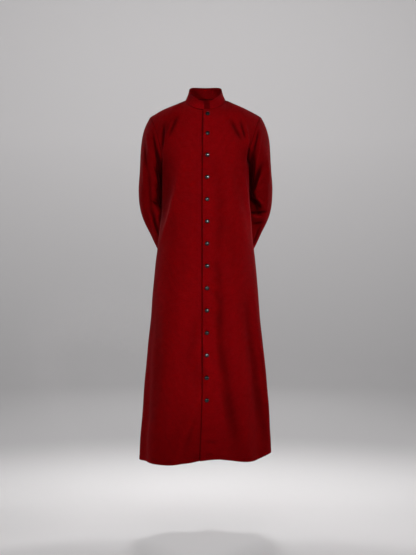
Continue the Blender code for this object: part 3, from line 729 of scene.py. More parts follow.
CRIMSON_DEEP = (0.104, 0.0004, 0.0009, 1)
CRIMSON_BRIGHT = (0.166, 0.0010, 0.0021, 1)
# The colour of painted shade, which the deepest creases, seams and the sides by the arms are darkened towards
CRIMSON_PAINTED_SHADE = (0.012, 0.0001, 0.0002, 1)
THREAD_DEEP = (0.050, 0.0004, 0.0008, 1)
THREAD_BRIGHT = (0.120, 0.0010, 0.0020, 1)
TWILL_PITCH = 0.0011
WEAVE_DEPTH = 0.00025


def crimson_wool():
    """Smooth worsted: a fine twill under a light nap, with the faint mottle of piece-dyed wool. Shade is painted
    into its colour in creases, at seams, round edges and beside the arms, and a highlight is painted along ridges."""
    made = bpy.data.materials.new("crimson_wool")
    made.use_nodes = True
    shader = made.node_tree.nodes["Principled BSDF"]
    start = Wire(shader.outputs[0])
    place = start.node("UVMap", {"uv_map": "bolt"})
    twill_scale = 2 * math.pi / (10 * TWILL_PITCH)
    twill = start.node(
        "TexWave",
        {"wave_type": "BANDS", "bands_direction": "DIAGONAL"},
        {"Vector": place, "Scale": twill_scale, "Distortion": 1.5, "Detail": 1.0},
    )
    nap = start.node("TexNoise", {}, {"Vector": place, "Scale": 700.0, "Detail": 3.0})
    grain = start.node("TexNoise", {}, {"Vector": place, "Scale": 210.0, "Detail": 2.0})
    mottle = start.node("TexNoise", {}, {"Vector": place, "Scale": 38.0, "Detail": 4.0})
    # Painted shade and highlight read from the cloth's points: lighter on ridges, darker in creases, at seams and
    # beside the arms
    painted_shade_and_highlight = start.node("Attribute", {"attribute_name": "painted_shade_and_highlight"}, output=2)
    shade = grain * 1.3 + mottle * 1.0 + nap * 0.4 + painted_shade_and_highlight * 0.35 - 0.85
    colour = start.node(
        "Mix", {"data_type": "RGBA"}, {0: shade, 6: CRIMSON_DEEP, 7: CRIMSON_BRIGHT}, output=2
    )
    colour = start.node(
        "Mix", {"data_type": "RGBA"}, {0: painted_shade_and_highlight * -0.75, 6: colour, 7: CRIMSON_PAINTED_SHADE}, output=2
    )
    colour.feeds(shader, "Base Color")
    (nap * 0.16 + 0.74).feeds(shader, "Roughness")
    bump = start.node(
        "Bump", {}, {"Strength": 0.8, "Distance": WEAVE_DEPTH, "Height": twill * 0.5 + nap * 0.8}
    )
    bump.feeds(shader, "Normal")
    shader.inputs["Specular IOR Level"].default_value = 0.02
    shader.inputs["Specular Tint"].default_value = (0.90, 0.20, 0.22, 1)
    shader.inputs["Sheen Weight"].default_value = 0.09
    shader.inputs["Sheen Roughness"].default_value = 0.35
    shader.inputs["Sheen Tint"].default_value = (0.95, 0.05, 0.07, 1)
    return made


def crimson_thread():
    """Spun thread, a little deeper than the cloth, with the lighter flecks of its twist."""
    made = bpy.data.materials.new("crimson_thread")
    made.use_nodes = True
    shader = made.node_tree.nodes["Principled BSDF"]
    start = Wire(shader.outputs[0])
    twist = start.node("TexNoise", {}, {"Vector": start.node("TexCoord", output=3), "Scale": 2600.0})
    colour = start.node(
        "Mix", {"data_type": "RGBA"}, {0: twist, 6: THREAD_DEEP, 7: THREAD_BRIGHT}, output=2
    )
    colour.feeds(shader, "Base Color")
    (twist * 0.2 + 0.5).feeds(shader, "Roughness")
    shader.inputs["Specular IOR Level"].default_value = 0.1
    return made


def front_relief(grid, steep=False):
    relief = creased(FRONT_CREASES, grid[..., 0], -grid[..., 2], steep)
    # If steep: the painted shade and highlight of the creases, and shade painted on the front beside the arm, where
    # the sleeve keeps the light off
    if steep:
        drop = -grid[..., 2]
        near_seam = ramp(panel_seams(grid, False), BESIDE_ARM_REACH, 0.0)
        beside_arm_painted_shade = near_seam * ramp(drop, BESIDE_ARM_START, BESIDE_ARM_FULL)
        beside_arm_painted_shade *= ramp(BESIDE_ARM_END - drop, 0, BESIDE_ARM_FADE)
        return relief * BODY_CREASE_PAINTED_SHADE_AND_HIGHLIGHT - beside_arm_painted_shade * PAINTED_SHADE_BESIDE_ARM
    relief += uneven(grid, UNEVENNESS)
    return relief * ramp(panel_seams(grid, False), 0, SEAM_FADE) + hem_relief(grid)


def closing_dip(grid, steep=False):
    """The dip of the right front beside the left front's edge; if steep, the strength of the shade painted into it.
    """
    drop = np.clip(-grid[..., 2], FRONT_EDGE[0].drop, HEM_DROP)
    edge = smooth_value(column(FRONT_EDGE, "drop"), column(FRONT_EDGE, "x"), drop)
    beside = edge - grid[..., 0] - EDGE_DIP_PLACE
    depth = EDGE_DIP / EDGE_DIP_REACH if steep else EDGE_DIP
    return -depth * np.exp(-((beside / EDGE_DIP_REACH) ** 2))


wool = crimson_wool()
thread = crimson_thread()
left_front = front_panel(1, left_edge_x, NECK_CELLS)
right_front = front_panel(-1, underlap_edge_x, NECK_CELLS + UNDERLAP_CELLS)
cloth_front_left, shown_left, left_normals = add_cloth(
    "cloth_front_left", left_front, front_relief, CLOTH, wool, {"top", "last"}
)
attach(cloth_front_left, "root")
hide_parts("front_left")
left_hem = hem_stitches("hem_stitches_left", shown_left, left_normals, thread)

pressed = resampled(right_front, finer(right_front.shape[1], UNDERLAP_CELLS - 2, UNDERLAP_CELLS + 4, 3), 1)
pressed = tucked(pressed, grid_normals(pressed, False, -1))
cloth_front_right, shown_right, right_normals = add_cloth(
    "cloth_front_right",
    pressed,
    lambda grid, steep=False: front_relief(grid, steep) + closing_dip(grid, steep),
    CLOTH,
    wool,
    {"top", "last"},
    outward=-1,
)
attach(cloth_front_right, "root")
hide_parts("front_right")
right_hem = hem_stitches("hem_stitches_right", shown_right, right_normals, thread)


# The back
# One piece from side seam to side seam, of the same wool. It falls from the shoulders into a full skirt of
# deep folds, which the side seams join to the fronts.
BACK_GUIDES = [
    Guide(0.000, (-0.030, 0.270, 0.040), (0.050, -0.280, 0.060)),
    Guide(0.087, (-0.024, 0.150, 0.097), (0.034, -0.350, 0.047)),
    Guide(0.173, (-0.016, 0.050, 0.152), (0.018, -0.410, 0.034)),
    Guide(0.260, (-0.008, 0.005, 0.182), (0.000, -0.410, 0.022)),
    Guide(0.346, (-0.005, -0.005, 0.202), (-0.012, -0.390, 0.030)),
    Guide(0.385, (-0.004, 0.010, 0.204), (-0.026, -0.260, 0.065)),
    Guide(0.423, (-0.003, 0.020, 0.206), (-0.022, -0.165, 0.100)),
    Guide(0.500, (0.000, 0.028, 0.210), (0.000, -0.085, 0.150)),
]
BACK_CREASES = [
    # Drag lines from the armholes over the shoulder blades
    Crease(-0.108, 0.070, -0.156, 0.165, 0.000, 0.0070, -0.0060),
    Crease(-0.132, 0.080, -0.164, 0.176, 0.000, 0.0050, 0.0039),
    Crease(0.104, 0.066, 0.150, 0.160, 0.000, 0.0070, -0.0057),
    Crease(0.128, 0.085, 0.160, 0.185, 0.000, 0.0050, 0.0039),
    # The small of the back
    Crease(-0.070, 0.230, -0.048, 0.470, 0.004, 0.0150, -0.0054),
    Crease(0.064, 0.250, 0.050, 0.500, -0.004, 0.0150, -0.0057),
    Crease(-0.014, 0.200, 0.004, 0.440, 0.000, 0.0130, 0.0042),
    Crease(-0.128, 0.280, -0.092, 0.560, 0.000, 0.0140, -0.0051),
    Crease(0.124, 0.270, 0.098, 0.540, 0.000, 0.0140, -0.0051),
    Crease(-0.080, 0.452, 0.020, 0.474, 0.006, 0.0090, -0.0045),
    Crease(-0.020, 0.486, 0.082, 0.462, -0.006, 0.0080, -0.0042),
    # Sharper lines along the folds of the skirt
    Crease(-0.150, 0.640, -0.186, 1.080, 0.000, 0.0070, -0.0051),
    Crease(-0.086, 0.700, -0.104, 1.180, 0.000, 0.0080, -0.0045),
    Crease(-0.030, 0.640, -0.026, 1.020, 0.000, 0.0080, -0.0048),
    Crease(0.044, 0.720, 0.060, 1.240, 0.000, 0.0080, -0.0048),
    Crease(0.112, 0.660, 0.144, 1.120, 0.000, 0.0070, -0.0051),
]
BACK_NECK_CELLS = 28


def back_neck_turns():
    return evenly_along(neck_seam, SHOULDER_TURN, 2 * math.pi - SHOULDER_TURN, BACK_NECK_CELLS + 1)


def back_panel():
    """The back's grid, columns from the wearer's left side seam to the right one."""
    cells = 2 * SHOULDER_CELLS + BACK_NECK_CELLS
    left = shoulder_seam(np.linspace(1, 0, SHOULDER_CELLS + 1)[:-1], 1)
    right = shoulder_seam(np.linspace(0, 1, SHOULDER_CELLS + 1)[1:], -1)
    top = np.concatenate([left, neck_seam(back_neck_turns()), right])

    def ring(drop):
        ends = SIDE_SEAM_TURN, 2 * math.pi - SIDE_SEAM_TURN
        turns = evenly_along(lambda turn: body_points(turn, drop), *ends, cells + 1)
        return body_points(turns, drop)

    first = ring(UNDERARM_DROP)
    shares = np.linspace(0, 1, cells + 1)
    folded = np.minimum(shares, 1 - shares)
    mirror = np.where(shares <= 0.5, 1.0, -1.0)[:, None] * np.array([1.0, 0, 0]) + np.array([0, 1.0, 1.0])
    at_ring = leans_at(BACK_GUIDES, folded, "at_ring", 1) * mirror
    at_top = leans_at(BACK_GUIDES, folded, "at_top", 1) * mirror
    corners = SHOULDER_CELLS, SHOULDER_CELLS + BACK_NECK_CELLS
    yoke = eased(yoke_rows(first, top, at_ring, at_top), corners)
    skirt = np.stack([ring(drop) for drop in skirt_drops()[1:]])
    return np.concatenate([yoke, skirt])


def back_relief(grid, steep=False):
    relief = creased(BACK_CREASES, grid[..., 0], -grid[..., 2], steep)
    # If steep: the painted shade and highlight of the creases
    if steep:
        return relief * BODY_CREASE_PAINTED_SHADE_AND_HIGHLIGHT
    relief += uneven(grid, UNEVENNESS)
    return relief * ramp(panel_seams(grid, True), 0, SEAM_FADE) + hem_relief(grid)


back = back_panel()
cloth_back, shown_back, back_normals = add_cloth(
    "cloth_back", back, back_relief, CLOTH, wool, {"top", "first", "last"}
)
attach(cloth_back, "root")
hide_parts("back")
back_hem = hem_stitches("hem_stitches_back", shown_back, back_normals, thread)


# The sleeves
# Each is set into its armhole with a seam, narrows to a plain open cuff, and bends at the elbow to pass behind
# the back. The cloth breaks into short folds inside the bend.
Station = namedtuple("Station", "x y z across deep")
ARM = [
    Station(0.2135, 0.046, -0.275, 0.0465, 0.064),
    Station(0.2160, 0.064, -0.345, 0.0495, 0.063),
    Station(0.2085, 0.091, -0.415, 0.0505, 0.060),
    Station(0.1800, 0.125, -0.500, 0.0430, 0.053),
    Station(0.1470, 0.155, -0.580, 0.0400, 0.049),
    Station(0.1080, 0.184, -0.668, 0.0390, 0.046),
]
SLEEVE_SQUARENESS = 2.2
ARM_STEP = 0.02
CAP_OUTWARD = 0.50
CAP_DOWNWARD = 0.97
CAP_EASED_AT_TOP = 0.25

# Folds of a sleeve: the place down the arm (0 underarm, 1 cuff), round it (0 outside, 90 front, 180 inside)
SleeveFold = namedtuple("SleeveFold", "along around reach_along reach_around slant height")
LEFT_SLEEVE_FOLDS = [
    SleeveFold(0.26, 122, 0.055, 34, -0.0028, -0.011),
    SleeveFold(0.36, 116, 0.045, 44, -0.0010, 0.006),
    SleeveFold(0.45, 120, 0.040, 44, 0.0004, -0.007),
    SleeveFold(0.54, 112, 0.050, 50, 0.0010, 0.004),
    SleeveFold(0.20, 62, 0.240, 13, 0.0, 0.004),
    SleeveFold(0.42, 262, 0.060, 40, 0.0010, -0.006),
]
RIGHT_SLEEVE_FOLDS = [
    SleeveFold(0.24, 132, 0.050, 32, 0.0010, -0.008),
    SleeveFold(0.36, 124, 0.055, 44, -0.0012, 0.005),
    SleeveFold(0.18, 74, 0.240, 13, 0.0, -0.004),
    SleeveFold(0.50, 76, 0.160, 15, 0.0, 0.003),
    SleeveFold(0.40, 258, 0.060, 42, -0.0010, -0.006),
]
# Creases on the front of a sleeve, as seen from in front, and on its rear, as seen from behind
RIGHT_SLEEVE_FRONT = [
    Crease(-0.1842, 0.1541, -0.1648, 0.3714, 0.001, 0.0100, -0.0110),
    Crease(-0.2075, 0.1075, -0.1707, 0.3093, 0.001, 0.0042, -0.0065),
    Crease(-0.1881, 0.0998, -0.1687, 0.2123, 0.001, 0.0036, -0.0050),
    Crease(-0.1959, 0.1037, -0.1687, 0.2550, 0.001, 0.0036, 0.0040),
    Crease(-0.2308, 0.1153, -0.2114, 0.2395, 0.000, 0.0044, 0.0036),
    Crease(-0.2153, 0.2162, -0.1842, 0.3326, 0.000, 0.0045, 0.0030),
    Crease(-0.2444, 0.2239, -0.2378, 0.3714, 0.000, 0.0050, 0.0030),
    Crease(-0.2366, 0.1541, -0.2269, 0.2899, 0.000, 0.0045, -0.0032),
    Crease(-0.2230, 0.2317, -0.2095, 0.4723, 0.000, 0.0060, -0.0040),
    Crease(-0.1862, 0.3326, -0.1687, 0.4179, 0.000, 0.0050, -0.0105),
    Crease(-0.2153, 0.3830, -0.1823, 0.4024, 0.000, 0.0050, -0.0034),
    Crease(-0.2386, 0.3636, -0.1901, 0.5654, 0.001, 0.0050, 0.0036),
    Crease(-0.2153, 0.4024, -0.1765, 0.5537, 0.000, 0.0055, -0.0050),
]
LEFT_SLEEVE_FRONT = [
    Crease(0.1882, 0.1619, 0.1669, 0.3714, -0.001, 0.0100, -0.0120),
    Crease(0.2290, 0.2239, 0.1766, 0.3636, -0.003, 0.0070, -0.0075),
    Crease(0.2076, 0.1075, 0.1844, 0.2162, 0.000, 0.0036, -0.0045),
    Crease(0.2173, 0.1153, 0.1960, 0.2627, 0.000, 0.0040, 0.0040),
    Crease(0.2406, 0.2007, 0.2523, 0.3403, 0.000, 0.0050, 0.0036),
    Crease(0.2251, 0.2705, 0.1960, 0.3559, -0.002, 0.0050, 0.0045),
    Crease(0.1844, 0.3520, 0.2426, 0.3248, 0.002, 0.0060, 0.0050),
    Crease(0.1611, 0.3597, 0.2212, 0.4218, 0.002, 0.0064, -0.0125),
    Crease(0.1882, 0.3636, 0.2348, 0.4102, 0.001, 0.0050, 0.0050),
    Crease(0.1611, 0.4296, 0.2503, 0.4257, -0.004, 0.0046, -0.0085),
    Crease(0.1688, 0.4470, 0.2426, 0.4509, -0.001, 0.0050, 0.0055),
    Crease(0.1805, 0.4761, 0.2348, 0.4684, 0.000, 0.0050, -0.0050),
    Crease(0.2193, 0.4723, 0.1844, 0.5693, 0.000, 0.0060, -0.0045),
]
RIGHT_SLEEVE_REAR = [
    Crease(-0.2180, 0.1300, -0.1900, 0.2900, 0.002, 0.0065, -0.0066),
    Crease(-0.2320, 0.1700, -0.2260, 0.3300, 0.000, 0.0050, 0.0030),
    Crease(-0.2420, 0.3300, -0.1860, 0.3520, 0.004, 0.0060, -0.0075),
    Crease(-0.2440, 0.3700, -0.1820, 0.3800, 0.000, 0.0060, 0.0045),
    Crease(-0.2300, 0.4100, -0.1700, 0.4600, 0.002, 0.0060, -0.0054),
    Crease(-0.1900, 0.4700, -0.1350, 0.6200, 0.000, 0.0060, -0.0042),
]
LEFT_SLEEVE_REAR = [
    Crease(0.2140, 0.1400, 0.1860, 0.3000, -0.002, 0.0065, -0.0066),
    Crease(0.2340, 0.1600, 0.2300, 0.3200, 0.000, 0.0050, 0.0030),
    Crease(0.2400, 0.3400, 0.1840, 0.3660, 0.003, 0.0060, -0.0078),
    Crease(0.2380, 0.3820, 0.1800, 0.3980, 0.000, 0.0055, 0.0045),
    Crease(0.2260, 0.4200, 0.1660, 0.4500, -0.002, 0.0060, -0.0051),
    Crease(0.1860, 0.4800, 0.1320, 0.6100, 0.000, 0.0060, -0.0042),
]
SLEEVE_UNEVENNESS = 0.6
# The sleeve's fullness just below the underarm, which shuts out the light between sleeve and body
UNDERARM_FULLNESS = 0.0018
UNDERARM_FULL_DROPS = (0.245, 0.280)
CAP_ROWS = 40
ARM_ROWS = 150


def armhole(front, rear, side):
    """The armhole's points in order: shoulder tip, down the front, underarm, up the back."""
    down = front[: YOKE_ROWS + 1, -1]
    up = rear[: YOKE_ROWS + 1, 0 if side > 0 else -1][::-1]
    return np.concatenate([down, up[1:-1]])


def arm_value(name, share):
    """A column of the arm's table at shares 0 to 1 of its length."""
    line = np.array([[row.x, row.y, row.z] for row in ARM])
    steps = np.linalg.norm(np.diff(line, axis=0), axis=1)
    at = np.concatenate([[0], np.cumsum(steps)])
    return smooth_value(at / at[-1], column(ARM, name), share)


def arm_line(share, side):
    return np.stack([arm_value("x", share) * side, arm_value("y", share), arm_value("z", share)], axis=-1)


def sleeve_relief(folds, share, around):
    """How far a sleeve's folds lift it, at a share of its length and angles round it."""
    relief = np.zeros_like(around)
    for fold in folds:
        away = turned_away(around, fold.around)
        along = share - fold.along - fold.slant * away
        relief += fold.height * np.exp(-((along / fold.reach_along) ** 2) - (away / fold.reach_around) ** 2)
    return relief


def arm_ring(share, around, side, folds):
    """One ring of the sleeve, square to the arm's line."""
    nearby = np.array([max(share - ARM_STEP, 0), min(share + ARM_STEP, 1)])
    ends = arm_line(nearby, side)
    along = unit(ends[1] - ends[0])
    outward = np.array([side, 0, 0]) - side * along[0] * along
    outward = outward / np.linalg.norm(outward)
    forward = np.cross(along, outward) * side
    s, c = np.sin(around), np.cos(around)
    fullness = (np.abs(s) ** SLEEVE_SQUARENESS + np.abs(c) ** SLEEVE_SQUARENESS) ** (-1 / SLEEVE_SQUARENESS)
    relief = sleeve_relief(folds, share, around)
    across = (arm_value("across", share) * fullness + relief) * c
    deep = (arm_value("deep", share) * fullness + relief) * s
    return arm_line(np.array([share]), side) + np.outer(across, outward) + np.outer(deep, forward)


def sleeve(hole, side, folds):
    """A sleeve's grid: rows from the armhole to the cuff, columns round it and closed on themselves."""
    around = np.arange(len(hole)) * (2 * math.pi / len(hole))
    first = arm_ring(0.0, around, side, folds)
    second = arm_ring(ARM_STEP, around, side, folds)
    reach = np.linalg.norm(first - hole, axis=1)[:, None]
    top = (0.5 + 0.5 * np.cos(around))[:, None]
    outward, down = np.array([side, 0, 0]), np.array([0, 0, -1.0])
    leave = unit(CAP_OUTWARD * outward + (CAP_DOWNWARD - CAP_EASED_AT_TOP * top) * down)
    arrive = unit(second - first)
    shares = np.linspace(0, 1, CAP_ROWS + 1)[:-1, None, None]
    cap = hermite(hole[None], (leave * reach)[None], first[None], (arrive * reach)[None], shares)
    rings = [arm_ring(share, around, side, folds) for share in np.linspace(0, 1, ARM_ROWS + 1)]
    return np.concatenate([cap, np.stack(rings)])


def sleeve_surface(grid, side, front_creases, rear_creases, steep=False):
    """A sleeve's creases, each table on its own side of the arm, its unevenness and the dip at the armhole. If
    steep, instead the painted shade and highlight of its creases and the shade painted on its side that faces the
    body.
    """
    facing = grid_normals(grid, True, -side)[..., 1]
    x, drop = grid[..., 0], -grid[..., 2]
    toward_body = -grid_normals(grid, True, -side)[..., 0] * side
    relief = creased(front_creases, x, drop, steep) * ramp(-facing, 0.05, 0.45)
    relief += creased(rear_creases, x, drop, steep) * ramp(facing, 0.05, 0.45)
    if steep:
        # Shade painted on the side of the sleeve that faces the body, where the body keeps the light off
        painted_shade_beside_body = ramp(drop, 0.20, 0.27) * ramp(0.62 - drop, 0, 0.12)
        return relief - ramp(toward_body, 0.30, 0.80) * painted_shade_beside_body
    relief += uneven(grid, UNEVENNESS) * SLEEVE_UNEVENNESS
    low, high = UNDERARM_FULL_DROPS
    middle = np.exp(-(((drop - (low + high) / 2) / (high - low)) ** 2))
    relief += UNDERARM_FULLNESS * ramp(toward_body, 0.6, 0.95) * middle
    return relief * ramp(run_along(grid, 0), 0, SEAM_FADE)


for side_name, side, front, folds, creases in (
    ("left", 1, left_front, LEFT_SLEEVE_FOLDS, (LEFT_SLEEVE_FRONT, LEFT_SLEEVE_REAR)),
    ("right", -1, right_front, RIGHT_SLEEVE_FOLDS, (RIGHT_SLEEVE_FRONT, RIGHT_SLEEVE_REAR)),
):
    arm = sleeve(armhole(front, back, side), side, folds)
    cloth_sleeve, _, _ = add_cloth(
        f"cloth_sleeve_{side_name}",
        arm,
        lambda grid, steep=False: sleeve_surface(grid, side, *creases, steep),
        CLOTH,
        wool,
        {"top"},
        closed=True,
        outward=-side,
    )
    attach(cloth_sleeve, "root")
    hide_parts(f"sleeve_{side_name}")


# The collar
# A stand collar of two layers over stiff interlining, sewn to the neck. Its square ends stop short of each
# other, which leaves an open notch above the first button.
COLLAR_CLOTH = 0.0024
COLLAR_TOP = Oval(0.0635, 0.062, -0.004, 0.0255, 0.0368, 0.0175)
COLLAR_NOTCH = (-0.0061, 0.0174)
COLLAR_WAIST = 0.0022
COLLAR_FIRST_CELL = 0.03
COLLAR_ROWS = 16


def collar():
    """The collar's grid, rows from its seam up and columns from the wearer's right end round the back."""
    low_right, low_left = (neck_turn_at_x(x) for x in COLLAR_NOTCH)
    left = front_neck_turns(1, left_edge_x, NECK_CELLS)
    right = front_neck_turns(-1, underlap_edge_x, NECK_CELLS + UNDERLAP_CELLS)
    left = left[left > low_left + COLLAR_FIRST_CELL]
    right = right[right < low_right - COLLAR_FIRST_CELL][::-1]
    turns = [[low_left], left, back_neck_turns()[1:-1], right + 2 * math.pi, [low_right + 2 * math.pi]]
    turns = np.concatenate(turns)
    low, high = neck_seam(turns), round_neck(COLLAR_TOP, turns)
    shares = np.linspace(0, 1, COLLAR_ROWS + 1)[:, None, None]
    curve = unit(np.stack([np.sin(turns), -np.cos(turns), 0 * turns], axis=-1))
    return low[None] + (high - low)[None] * shares - curve[None] * COLLAR_WAIST * np.sin(math.pi * shares)


def no_relief(grid, steep=False):
    return np.zeros(grid.shape[:2])


cloth_collar, _, _ = add_cloth("cloth_collar", collar(), no_relief, COLLAR_CLOTH, wool, {"top"}, outward=-1)
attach(cloth_collar, "root")
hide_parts("collar")


# The buttons
# Fourteen domed buttons of polished black horn, 17 mm across. Each is sewn to the underlap and stands on the
# left front, through a buttonhole worked in crimson thread.
BUTTON_COUNT = 14
BUTTON_RADIUS = 0.0085
BUTTON_HEIGHT = 0.0062
BUTTON_FOOT = 0.84
BUTTON_EDGE = 0.16
BUTTON_SIDES = 40
BUTTON_RINGS = 14


def button_horn():
    """Polished black horn, a little cloudy."""
    made = bpy.data.materials.new("black_horn")
    made.use_nodes = True
    shader = made.node_tree.nodes["Principled BSDF"]
    start = Wire(shader.outputs[0])
    place = start.node("TexCoord", output=3)
    cloud = start.node("TexNoise", {}, {"Vector": place, "Scale": 260.0, "Detail": 3.0})
    colour = start.node(
        "Mix", {"data_type": "RGBA"}, {0: cloud, 6: (0.001, 0.001, 0.001, 1), 7: (0.004, 0.003, 0.003, 1)}, output=2
    )
    colour.feeds(shader, "Base Color")
    (cloud * 0.06 + 0.07).feeds(shader, "Roughness")
    shader.inputs["Specular IOR Level"].default_value = 0.38
    return made


def button_mesh(finish):
    """A turned dome over a short straight edge and a flat underside, its axis along Z."""
    rise = np.linspace(0, math.pi / 2, BUTTON_RINGS, endpoint=False)
    outline = [(0.0, 0.0), (BUTTON_FOOT, 0.0), (0.96, 0.04)]
    outline += [(math.cos(t) ** 0.8, BUTTON_EDGE + (1 - BUTTON_EDGE) * math.sin(t)) for t in rise]
    turns = np.arange(BUTTON_SIDES) * 2 * math.pi / BUTTON_SIDES
    points = [
        (BUTTON_RADIUS * r * math.cos(t), BUTTON_RADIUS * r * math.sin(t), BUTTON_HEIGHT * h)
        for r, h in outline[1:]
        for t in turns
    ]
    points += [(0, 0, 0), (0, 0, BUTTON_HEIGHT)]
    n, rings = BUTTON_SIDES, len(outline) - 1
    faces = []
    for j in range(n):
        k = (j + 1) % n
        faces.append((len(points) - 2, k, j))
        faces += [(i * n + j, i * n + k, (i + 1) * n + k, (i + 1) * n + j) for i in range(rings - 1)]
        faces.append(((rings - 1) * n + j, (rings - 1) * n + k, len(points) - 1))
    mesh = bpy.data.meshes.new("domed_button")
    mesh.from_pydata(points, [], faces)
    mesh.materials.append(finish)
    mesh.shade_smooth()
    return mesh


dome = button_mesh(button_horn())
for n in range(1, BUTTON_COUNT + 1):
    low, high = (np.array(corner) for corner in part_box(f"button_{n:02d}"))
    middle = (low + high) / 2
    gap = np.linalg.norm(shown_left - middle, axis=-1)
    nearest = np.unravel_index(np.argmin(gap), gap.shape)
    outward = left_normals[nearest]
    button = bpy.data.objects.new(f"domed_button_{n:02d}", dome.copy())
    button.location = middle - outward * BUTTON_HEIGHT / 2
    button.rotation_mode = "QUATERNION"
    button.rotation_quaternion = Vector(outward).to_track_quat("Z", "Y")
    bpy.context.scene.collection.objects.link(button)
    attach(button, "root")
    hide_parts(f"button_{n:02d}")


BUTTONHOLE_START = 0.0040
BUTTONHOLE_END = 0.0122
BUTTONHOLE_PITCH = 0.0007
BUTTONHOLE_STITCH = 0.0018
BUTTONHOLE_RISE = 0.0010

middles, ways, facing = [], [], []
for n in range(1, BUTTON_COUNT + 1):
    low, high = (np.array(corner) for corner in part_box(f"button_{n:02d}"))
    for reach in np.arange(BUTTONHOLE_START, BUTTONHOLE_END, BUTTONHOLE_PITCH):
        for rise in (-BUTTONHOLE_RISE, BUTTONHOLE_RISE):
            place = (low + high) / 2 + np.array([-reach, 0, rise])
            gap = np.linalg.norm(shown_left - place, axis=-1)
            nearest = np.unravel_index(np.argmin(gap), gap.shape)
            outward = left_normals[nearest]
            middles.append(place - outward * np.dot(place - shown_left[nearest], outward))
            ways.append(unit(np.array([0, 0, 1]) - outward * outward[2]))
            facing.append(outward)
stitches("buttonholes", np.array(middles), np.array(ways), np.array(facing), BUTTONHOLE_STITCH, thread)


# The studio
# A floor that sweeps up into a grey wall all round, with a pool of light painted on the middle of the floor,
# painted shade round it and low on the wall, and the wall painted lighter towards its top. The key light is a tall
# narrow strip behind a grid, so the middle of the front is brightest. Weaker lights fill it from the left and edge
# it from both sides.
FLOOR_Z = -1.692
FLOOR_RADIUS = 5.5
SWEEP_RADIUS = 3.0
WALL_HEIGHT = 7.0
WALL_SIDES = 96
PAINTED_POOL_OF_LIGHT_GREY = (0.86, 0.845, 0.85, 1)
WALL_LOW_GREY = (0.36, 0.352, 0.356, 1)
WALL_GREY = (0.52, 0.508, 0.512, 1)

Lamp = namedtuple("Lamp", "name place aim width height spread power")
LAMPS = [
    Lamp("key", (0.70, -4.40, 0.35), (-0.01, 0, -0.57), 0.26, 1.40, 9, 1.38),
    Lamp("fill", (-1.9, -3.9, -0.3), (0, 0, -0.7), 1.0, 1.0, 180, 42),
    Lamp("high", (-0.1, -3.1, 2.3), (0, 0, -0.6), 1.8, 1.0, 180, 11),
    Lamp("left_side", (-4.2, -0.9, 0.0), (0, 0, -0.6), 0.8, 0.8, 180, 14),
    Lamp("right_side", (4.2, -0.9, 0.0), (0, 0, -0.6), 0.8, 0.8, 180, 58),
    Lamp("back_left", (-2.6, 1.9, 0.4), (0, 0, -0.5), 0.8, 0.8, 180, 40),
    Lamp("back_right", (2.6, 1.9, 0.4), (0, 0, -0.5), 0.8, 0.8, 180, 45),
    Lamp("wall", (0.0, 2.6, 2.9), (0.0, 9.0, -0.1), 2.0, 2.0, 180, 310),
    Lamp("floor", (0.0, 1.7, 2.4), (0.0, 0.8, -1.69), 0.6, 0.6, 60, 5.0),
]


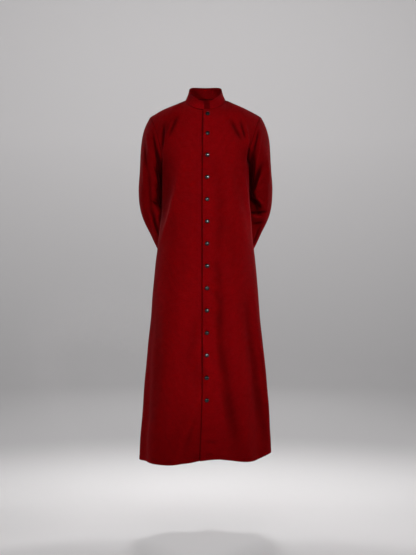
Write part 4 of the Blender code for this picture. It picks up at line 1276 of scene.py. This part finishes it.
def studio_wall():
    """Floor, sweep and wall as one turned surface."""
    bend = np.linspace(0, math.pi / 2, 17)
    across = FLOOR_RADIUS + SWEEP_RADIUS * np.sin(bend)
    radii = np.concatenate([[0.01, 1.5, 3.5], across, across[-1:]])
    heights = np.concatenate([[0, 0, 0], SWEEP_RADIUS * (1 - np.cos(bend)), [WALL_HEIGHT]]) + FLOOR_Z
    turns = np.arange(WALL_SIDES) * 2 * math.pi / WALL_SIDES
    points = [(r * math.cos(t), r * math.sin(t), z) for r, z in zip(radii, heights) for t in turns]
    n = WALL_SIDES
    faces = [
        (i * n + j, i * n + (j + 1) % n, (i + 1) * n + (j + 1) % n, (i + 1) * n + j)
        for i in range(len(radii) - 1)
        for j in range(n)
    ]
    faces.append(tuple(reversed(range(n))))
    mesh = bpy.data.meshes.new("studio_wall")
    mesh.from_pydata(points, [], faces)
    mesh.shade_smooth()
    paint = bpy.data.materials.new("studio_paint")
    paint.use_nodes = True
    shader = paint.node_tree.nodes["Principled BSDF"]
    start = Wire(shader.outputs[0])
    place = start.node("NewGeometry")
    level = start.node("VectorMath", {"operation": "MULTIPLY"}, {0: place, 1: (1, 1, 0)})
    away = start.node("VectorMath", {"operation": "LENGTH"}, {0: level}, output=1)
    height = start.node("SeparateXYZ", {}, {0: place}, output=2)
    # Painted light: a pool of light in the middle of the floor, painted shade beyond it and low on the wall,
    # lighter paint higher up
    painted_pool_of_light_fade = start.node("MapRange", {"interpolation_type": "SMOOTHSTEP"}, {0: away, 1: 0.5, 2: 2.6})
    raised = start.node("MapRange", {}, {0: height, 1: -1.5, 2: 1.0})
    tone = start.node(
        "Mix", {"data_type": "RGBA"}, {0: painted_pool_of_light_fade, 6: PAINTED_POOL_OF_LIGHT_GREY, 7: WALL_LOW_GREY}, output=2
    )
    tone = start.node("Mix", {"data_type": "RGBA"}, {0: raised, 6: tone, 7: WALL_GREY}, output=2)
    tone.feeds(shader, "Base Color")
    shader.inputs["Roughness"].default_value = 0.9
    shader.inputs["Specular IOR Level"].default_value = 0.1
    mesh.materials.append(paint)
    made = bpy.data.objects.new("studio_wall", mesh)
    bpy.context.scene.collection.objects.link(made)
    return made


studio_wall()
for lamp in LAMPS:
    light = bpy.data.lights.new(lamp.name, "AREA")
    light.shape = "RECTANGLE"
    light.size = lamp.width
    light.size_y = lamp.height
    light.spread = math.radians(lamp.spread)
    light.energy = lamp.power
    lamp_object = bpy.data.objects.new(lamp.name, light)
    lamp_object.location = lamp.place
    aim = np.array(lamp.aim) - np.array(lamp.place)
    lamp_object.rotation_euler = (
        math.atan2(math.hypot(aim[0], aim[1]), -aim[2]),
        0,
        math.atan2(aim[1], aim[0]) - math.pi / 2,
    )
    bpy.context.scene.collection.objects.link(lamp_object)

world = bpy.data.worlds.new("studio_air")
world.use_nodes = True
world.node_tree.nodes["Background"].inputs["Color"].default_value = (1, 1, 1, 1)
world.node_tree.nodes["Background"].inputs["Strength"].default_value = 0.04
bpy.context.scene.world = world
bpy.context.scene.view_settings.view_transform = "Standard"
